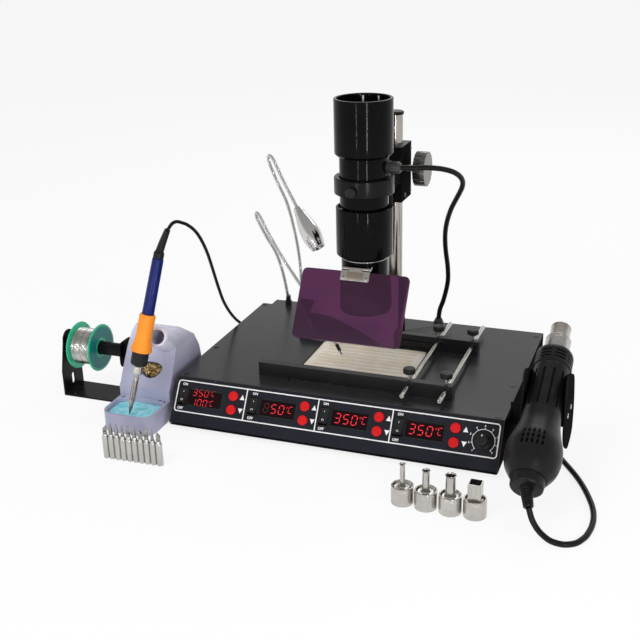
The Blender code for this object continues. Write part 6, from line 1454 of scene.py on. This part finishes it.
def makeIron(look):
    shape = Shape(ironFrame)
    tipPaint = surface("tip tin", (0.30, 0.29, 0.28), 0.36, 1.0, shade=0.25, patch=300.0)
    shape.lathe([(0, 0), (0.0004, 0), (0.0009, 0.0016), (0.0024, 0.0105), (0.0024, 0.0145), (0, 0.0145)], 32,
                mat=1, soft=0.0004)
    shape.lathe([(0, 0.0140), (0.0029, 0.0140), (0.0032, 0.0146), (0.0032, 0.0460), (0.0028, 0.0466),
                 (0.0028, 0.0475), (0.0032, 0.0480), (0.0032, 0.0510), (0, 0.0510)], 40, soft=0.0002)
    for turn in range(8):
        shape.box((0.0030, -0.0004, 0.018), (0.00325, 0.0004, 0.043), spin(2 * pi * turn / 8, "Z"), 2)
    shape.lathe([(0, 0.0500), (0.0046, 0.0500), (0.0058, 0.0510), (0.0058, 0.0590), (0.0050, 0.0607),
                 (0, 0.0607)], 96, None, 3, soft=0.0005, squash=ribbed(16, 0.05))
    shape.piece("ironBarrel", "iron", [steelPaint, tipPaint, darkSteel, nickelPaint], "iron_barrel", "steel",
                sharp=40)

    shape = Shape(ironFrame)
    rib = 0.0098
    shape.lathe([(0, 0.0610), (rib * 0.80, 0.0610), (rib * 0.96, 0.0622), (rib, 0.0640), (rib, 0.0650),
                 (rib, 0.0750), (rib, 0.0762), (rib * 0.97, 0.0772), (0, 0.0772)], 120, mat=1, soft=0.0004,
                squash=ribbed(20, 0.05, 0.0635, 0.0755))
    core = 0.0094 * 0.62
    shape.lathe([(0, 0.0770), (core, 0.0770), (core, 0.1228), (0.0072, 0.1228), (0.0070, 0.1300),
                 (0.0066, 0.1870), (0.0063, 0.1881), (0.0058, 0.1884), (0, 0.1884)], 64, soft=0.0004)
    shape.lathe([(0, 0.1884), (0.0061, 0.1884), (0.0061, 0.1948), (0.0056, 0.1960), (0, 0.1960)], 48, mat=1,
                soft=0.0004)
    # the boot bends from the handle to the cable's first point
    start, second = (Vector(p) for p in cords["ironCable"]["route"][:2])
    inward = (desk.inverted() @ ironFrame).inverted()
    end = start - (second - start).normalized() * 0.0003
    bend = smoothRoute([Vector((0, 0, look["bootLow"])), inward @ Vector(look["bootMiddle"]), inward @ end],
                       0.0006)
    count = len(bend) - 1
    radii = [look["bootRadius"] * (0.86 - 0.26 * k / count) * (0.90 if (k // 2) % 2 and 2 < k < count - 3
            else 1.0) for k in range(count + 1)]
    shape.tube(bend, radii, 32, 1)
    blue = surface("handle blue", (0.006, 0.014, 0.130), 0.16, shade=0.10, coat=0.05, level=0.18, wear=0.03,
                   wearColour=(0.10, 0.14, 0.35), grain=(800.0, 0.000006))
    shape.piece("ironHandle", "iron", [blue, plasticBlack], "iron_handle", "handle_blue", sharp=40)

    shape = Shape(ironFrame)
    orange = surface("grip orange", (0.92, 0.29, 0.012), 0.52, shade=0.07, grain=(1300.0, 0.00004),
                     speck=0.05, wear=0.05, wearColour=(0.55, 0.20, 0.03))
    inner = core + 0.0003
    shape.lathe([(inner, 0.0775), (0.0114, 0.0775), (0.0121, 0.0786), (0.0122, 0.0812), (0.0112, 0.0850),
                 (0.0099, 0.0890), (0.0095, 0.0930), (0.0093, 0.0960), (0.0093, 0.1000), (0.0094, 0.1130),
                 (0.0094, 0.1205), (0.0089, 0.1222), (0.0080, 0.1225), (inner, 0.1225)], 96, closed=True,
                soft=0.0008, squash=ribbed(6, 0.018, 0.094, 0.119))
    for k in range(5):
        z = 0.0980 + k * 0.0045
        shape.lathe([(0.0090, z), (0.00945, z + 0.0003), (0.00945, z + 0.0009), (0.0090, z + 0.0012)], 64)
    shape.piece("ironGrip", "iron", orange, "iron_grip", "grip_orange", sharp=60)


makeIron(iron)
print("iron made")


# solder reel

reel = {"left": -0.3495, "y": 0.031, "z": 0.063, "length": 0.032, "flange": 0.0295, "thick": 0.0018,
        "hub": 0.011, "winding": 0.0228, "bore": 0.0089, "turns": 28}
reelFrame = desk @ along((1, 0, 0), (reel["left"], reel["y"], reel["z"]))


def makeReel(look):
    shape = Shape().node("reel_bracket")
    shape.piece("reelBracket", "station", blackMetal, "reel_bracket", "black_metal", bevel=0.0004)
    end, thick, r = look["length"], look["thick"], look["flange"]
    shape = Shape(reelFrame)
    for a, b in ((0, thick), (end - thick, end)):
        shape.lathe([(look["bore"], a), (r - 0.0008, a), (r, a + 0.0005), (r, b - 0.0005), (r - 0.0008, b),
                     (look["bore"], b)], 96, closed=True, soft=0.0003)
        # a raised edge on the outer face
        face, out = (b + 0.00002, 0.0001) if b == end else (a - 0.00002, -0.0001)
        shape.lathe([(r - 0.0016, face - out), (r - 0.0014, face + out), (r - 0.0006, face + out),
                     (r - 0.0004, face - out)], 96)
    shape.lathe([(look["bore"], thick), (look["hub"], thick), (look["hub"], end - thick),
                 (look["bore"], end - thick)], 64, closed=True)
    shape.lathe([(0.0125, end - 0.00001), (0.0125, end + 0.00012), (r - 0.0030, end + 0.00012),
                 (r - 0.0030, end - 0.00001)], 96, mat=1)
    green = surface("spool green", (0.025, 0.50, 0.27), 0.30, shade=0.10, wear=0.08,
                    wearColour=(0.15, 0.62, 0.40))
    teal = surface("label teal", (0.010, 0.20, 0.19), 0.40, shade=0.15, wear=0.10,
                   wearColour=(0.10, 0.40, 0.36))
    shape.piece("solderSpool", "spool", [green, teal], "solder_spool", "spool_green", sharp=35)

    shape = Shape(reelFrame)
    count, start = look["turns"], thick + 0.0003
    wire = (end - 2 * start) / count
    profile = [(look["hub"] + 0.0003, start)]
    for k in range(count):
        for t in (0.0, 0.25, 0.5, 0.75):
            lift = sin(pi * t) * wire * 0.45
            drop = 0.0006 if k % 9 == 4 else 0.0
            profile.append((look["winding"] - 0.0006 + lift - drop, start + (k + t) * wire))
    profile.append((look["hub"] + 0.0003, start + count * wire))
    shape.lathe(profile, 96, closed=True)
    tinny = surface("solder wire", (0.56, 0.55, 0.53), 0.26, 1.0, shade=0.16, patch=130.0, wear=0.15,
                    wearColour=(0.30, 0.29, 0.28))
    shape.piece("solderWire", "spool", tinny, "solder_wire", "solder", sharp=70)


makeReel(reel)
print("reel made")


# spare tips and nozzles

tips = {"start": (-0.2279, -0.1140), "pitch": 0.0073, "slope": 0.0335, "radius": 0.0037, "sleeve": 0.0265,
        "neck": 0.0300, "top": 0.0430}
tipShapes = ("knife", "cone", "cone", "slim", "chisel", "cone", "hoof", "wide", "slim", "hoof")


def makeTips(look):
    paint = surface("tip nickel", (0.50, 0.49, 0.47), 0.28, 1.0, shade=0.12, brush=(900.0, 900.0, 40.0),
                    wear=0.14, wearColour=(0.24, 0.23, 0.22))
    dark = surface("tip plating", (0.30, 0.29, 0.28), 0.38, 1.0, shade=0.25, patch=300.0)
    shape = Shape(desk)
    for k, kind in enumerate(tipShapes):
        place = shift((look["start"][0] + k * look["pitch"],
                                    look["start"][1] + k * look["pitch"] * look["slope"], 0))
        r, sleeve, neck, top = look["radius"], look["sleeve"], look["neck"], look["top"]
        shape.lathe([(r * 0.72, 0.0), (r * 0.94, 0.0), (r, 0.0008), (r, sleeve - 0.0010), (r * 0.94, sleeve),
                     (r * 0.80, sleeve + 0.0008), (r * 0.66, neck), (0, neck)], 40, place, 0, soft=0.0003)
        # a near-black cone in the open end of the sleeve: painted shade in the bore
        shape.lathe([(r * 0.72, 0.0), (r * 0.70, 0.004), (0, 0.004)], 40, place, 2)
        low = neck - 0.0004
        if kind in ("cone", "slim"):
            fat = 0.62 if kind == "cone" else 0.46
            shape.lathe([(r * fat, low), (r * fat, low + 0.0035), (r * 0.20, top - 0.0012), (r * 0.10, top),
                         (0, top)], 32, place, 1, soft=0.0006)
        elif kind in ("chisel", "wide"):
            wide = 0.62 if kind == "chisel" else 0.82
            shape.lathe([(r * 0.60, low), (r * 0.62, low + 0.0045), (0, low + 0.0045)], 32, place, 1,
                        soft=0.0004)
            a, b = low + 0.0040, top - 0.001
            shape.prism([(-r * 0.60, a), (r * 0.60, a), (r * wide, b), (-r * wide, b)], -r * 0.20, r * 0.20,
                        place @ spin(0.5, "Z"), 1, "Y", soft=0.0003)
        elif kind == "knife":
            shape.lathe([(r * 0.62, low), (r * 0.64, low + 0.0030), (0, low + 0.0030)], 32, place, 1,
                        soft=0.0004)
            shape.prism([(-r * 0.62, low + 0.0025), (r * 0.62, low + 0.0025), (r * 0.66, top - 0.002),
                         (-r * 0.55, top - 0.007)], -r * 0.22, r * 0.22, place @ spin(0.25, "Z"), 1, "Y",
                        soft=0.0003)
        else:
            outline = [(-r * 0.60, low), (r * 0.60, low), (r * 0.60, low + 0.0055), (-r * 0.25, top - 0.0035),
                       (-r * 0.60, top - 0.0050)]
            shape.prism(outline, -r * 0.50, r * 0.50, place @ spin(0.3, "Z"), 1, "Y", soft=0.0006)
    shape.piece("spareTips", "station", [paint, dark, holeShadePaint], "spare_tips", "nickel", sharp=40)


nozzles = {"centres": ((0.1110, -0.1028), (0.1360, -0.1047), (0.1613, -0.1055), (0.1862, -0.1051)),
           "radius": 0.01175, "collar": 0.0199, "wall": 0.0012, "recess": 0.0025,
           "heights": (0.0440, 0.0420, 0.0415, 0.0375), "tubes": (0.0027, 0.0037, 0.0051),
           "flare": 0.0007, "square": 0.0135}


def makeNozzles(look):
    wall, rim, deck = look["wall"], look["radius"], look["collar"] - look["recess"]
    for k, ((x, y), high) in enumerate(zip(look["centres"], look["heights"])):
        shape = Shape(desk @ shift((x, y, 0)))
        skirt = [(rim - wall, 0), (rim - 0.0003, 0), (rim, 0.0003), (rim, 0.0160), (rim - 0.0004, 0.0178),
                 (rim - 0.0002, look["collar"] - 0.0004), (rim - 0.0006, look["collar"]),
                 (rim - wall - 0.0004, look["collar"]), (rim - wall - 0.0010, look["collar"] - 0.0010),
                 (rim - wall - 0.0022, deck)]
        if k < 3:
            out, flare = look["tubes"][k], look["flare"]
            skirt += [(out + 0.0010, deck), (out, deck + 0.0010), (out, high - flare * 2),
                      (out + flare, high - 0.0002), (out + flare - 0.0002, high), (out + flare - wall * 0.6,
                    high), (out - wall * 0.6, high - flare * 2), (out - wall * 0.6, deck - wall),
                      (rim - wall, deck - wall)]
            shape.lathe(skirt, 96, closed=True, soft=0.0003)
        else:
            side = look["square"] / 2
            shape.lathe(skirt + [(0, deck), (0, deck - wall), (rim - wall, deck - wall)], 96, closed=True,
                        soft=0.0003)
            # the square outlet, walked up the outside, over its lip and down inside
            rings = []
            for inset, z in ((0, deck - 0.0003), (0, high - 0.0002), (0.0002, high), (wall - 0.0002, high),
                             (wall, high - 0.0002), (wall, deck + 0.0015)):
                reach = side - inset
                rings.append([shape.bm.verts.new((a, b, z)) for a, b in roundedBox(-reach, -reach, reach,
                            reach, 0.0016 - inset * 0.8, 5)])
            shape.added([shape.bm.faces.new(rings[-1][::-1])] + shape.bridged(rings))
        shape.piece(f"nozzle{k + 1}", "station", [nickelPaint, darkSteel], f"nozzle_{k + 1}", "nickel",
                    sharp=40)


makeTips(tips)
makeNozzles(nozzles)
print("tips and nozzles made")


# hot-air gun

gun = {"cap": (0.2350, -0.1044, 0.0385), "rise": 0.4323, "end": 0.1765,
       "rear": ((0, 0), (0.0150, 0.0), (0.0165, 0.0015), (0.0172, 0.010), (0.0172, 0.0102), (0.0166, 0.0106),
                (0.0166, 0.0110)),
       "bulge": ((0.0115, 0.0188), (0.022, 0.0252), (0.032, 0.0280), (0.041, 0.0285), (0.051, 0.0275),
                 (0.064, 0.0240), (0.078, 0.0208), (0.092, 0.0196)),
       "front": ((0.0193, 0.1500), (0.0190, 0.1515), (0.0190, 0.1530), (0.0202, 0.1545), (0.0202, 0.1560),
                 (0.0199, 0.1725), (0.0190, 0.1755), (0.0180, 0.1765)),
       "grooves": 12, "ventRadius": 0.0278, "ventAt": 0.048, "ventPitch": (0.0050, 0.0068),
       "coolRows": (0.1592, 0.1636, 0.1680), "coolSlots": 8,
       "barrelBase": 0.0136, "barrel": 0.0108, "barrelStep": 0.1985, "barrelEnd": 0.2170}
gunFrame = desk @ shift(gun["cap"]) @ spin(gun["rise"] - pi / 2, "X")


def makeGun(look):
    bulge = smoothRoute([(a, r, 0) for a, r in look["bulge"]], 0.002)
    profile = [*look["rear"], *((p.y, p.x) for p in bulge), *look["front"]]
    inner = look["barrelBase"] + 0.0003
    profile += [(inner, look["end"]), (inner, look["end"] - 0.009), (0, look["end"] - 0.009)]
    shape = Shape(gunFrame)
    shape.lathe(profile, 128, soft=0.0004)
    cuts = Shape(gunFrame)
    for k in range(look["grooves"]):
        turn = spin(2 * pi * (k + 0.5) / look["grooves"], "Z")
        cuts.box((-0.0013, 0.0183, 0.094), (0.0013, 0.030, 0.143), turn, 1)
    # the inlet's grid of slots, five across and four along
    radius, (across, up) = look["ventRadius"], look["ventPitch"]
    for row in range(4):
        at = look["ventAt"] + (row - 1.5) * up
        for place in range(5):
            turn = spin((place - 2) * across / radius, "Z")
            cuts.box((-0.0012, -0.034, at - 0.0026), (0.0012, -radius + 0.0016, at + 0.0026), turn, 1)
    # rows of cooling slots round the outlet collar
    for at in look["coolRows"]:
        for k in range(look["coolSlots"]):
            start = 2 * pi * k / look["coolSlots"] + 0.10
            outline = []
            for r, order in ((0.0186, range(7)), (0.0230, range(6, -1, -1))):
                outline += [(r * cos(start + 0.60 * t / 6), r * sin(start + 0.60 * t / 6)) for t in order]
            cuts.prism(outline, at - 0.0009, at + 0.0009, mat=1)
    # the cut walls of the grooves and slots take the near-black second paint: painted shade inside them
    shape.carve(cuts)
    base = Vector(cords["gunCable"]["route"][0])
    reach = (desk.inverted() @ gunFrame).to_3x3().inverted() @ (base - Vector(look["cap"]))
    ahead = along(reach, (0, 0, 0), (0, 1, 0))
    end = reach.length - 0.0003
    rings = [(0, -0.002), (0.0062, -0.002), (0.0062, 0.0012)]
    # the cable boot's rings
    count = 7
    gap = (end - 0.0020) / count
    for k in range(count):
        z = 0.0014 + (end - 0.0020) * k / count
        r = 0.0062 - 0.0012 * k / count
        rings += [(r * 0.86, z), (r * 0.86, z + gap * 0.35), (r, z + gap * 0.40), (r, z + gap * 0.95)]
    rings += [(0.0047, end), (0, end)]
    shape.lathe(rings, 48, ahead, 0, soft=0.0001)
    bodyPaint = surface("gun black", (0.008, 0.008, 0.009), 0.32, shade=0.14, grain=(1500.0, 0.00004),
                        speck=0.03, level=0.16, dust=0.02)
    shape.piece("gunBody", "gun", [bodyPaint, holeShadePaint], "gun_body", "gun_black", sharp=38)

    wide, slim, step, top = look["barrelBase"], look["barrel"], look["barrelStep"], look["barrelEnd"]
    low = look["end"] - 0.0087
    shape = Shape(gunFrame)
    shape.lathe([(wide, low), (wide, step - 0.0045), (wide - 0.0004, step - 0.0040),
                 (wide - 0.0004, step - 0.0030), (wide, step - 0.0026), (wide, step - 0.0006),
                 (slim + 0.0006, step + 0.0010), (slim, step + 0.0020), (slim, top - 0.0012),
                 (slim + 0.0003, top - 0.0006), (slim, top), (slim - 0.001, top),
                 (slim - 0.001, step + 0.001), (wide - 0.001, step - 0.001), (wide - 0.001, low)], 96,
                closed=True, soft=0.0003)
    heat = Paint("heated steel")
    place = heat.turned((1.0, 1.0, 1.0), gunFrame)
    height = heat.split(place, 2)
    lines = heat.noise(heat.turned((160.0, 160.0, 520.0), gunFrame), 1.0, 3.0, 0.5)
    blotch = heat.noise(heat.at, 90.0, 4.0, 0.65)
    metal = heat.mix(blotch, (0.44, 0.42, 0.40), (0.56, 0.54, 0.51))
    metal = heat.mix((height + blotch * 0.012).step(0.205, 0.222) * 0.45, metal, (0.40, 0.31, 0.22))
    metal = heat.mix(lines.step(0.4, 0.7) * 0.3, metal, (0.70, 0.68, 0.66))
    heat.feed(Base_Color=metal, Metallic=1.0, Roughness=lines * 0.16 + blotch * 0.08 + 0.14,
              Normal=heat.bump(lines, 0.000003))
    # inside the outlet: the heater's mica disc with holes, their walls painted near-black: painted shade
    disc = Shape(gunFrame)
    disc.rod(slim - 0.0011, step + 0.003, step + 0.004, 48)
    holes = Shape(gunFrame)
    for k in range(6):
        spot = spin(2 * pi * k / 6, "Z") @ shift((0.0060, 0, 0))
        holes.rod(0.0014, step, step + 0.008, 16, spot, 1)
    disc.carve(holes)
    disc.piece("outletDisc", "gun", [surface("mica", (0.30, 0.26, 0.20), 0.6, shade=0.3), holeShadePaint], (),
               "steel")
    shape.piece("gunBarrel", "gun", heat.material, "gun_barrel", "steel", sharp=40)


def makeHolder():
    shape = Shape().node("gun_holder")
    shape.piece("gunHolder", "station", mattBlack, "gun_holder", "black_metal", bevel=0.0005)
    extra = Shape(desk)
    for x, side in ((0.2119, -1), (0.2581, 1)):
        for y, z in ((0.0025, 0.069), (0.0250, 0.069)):
            crossHead(extra, 0.0026, shift((x, y, z)) @ spin(side * pi / 2, "Y"), 0, 1, 0.0009)
    extra.piece("holderScrews", "station", [nickelPaint, darkSteel], (), "steel")


makeGun(gun)
makeHolder()
print("gun made")

low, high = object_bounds()
over = list(cadLow - low) + list(high - cadHigh)
print("size", [round(v, 4) for v in high - low], "over", [round(v, 5) for v in over])
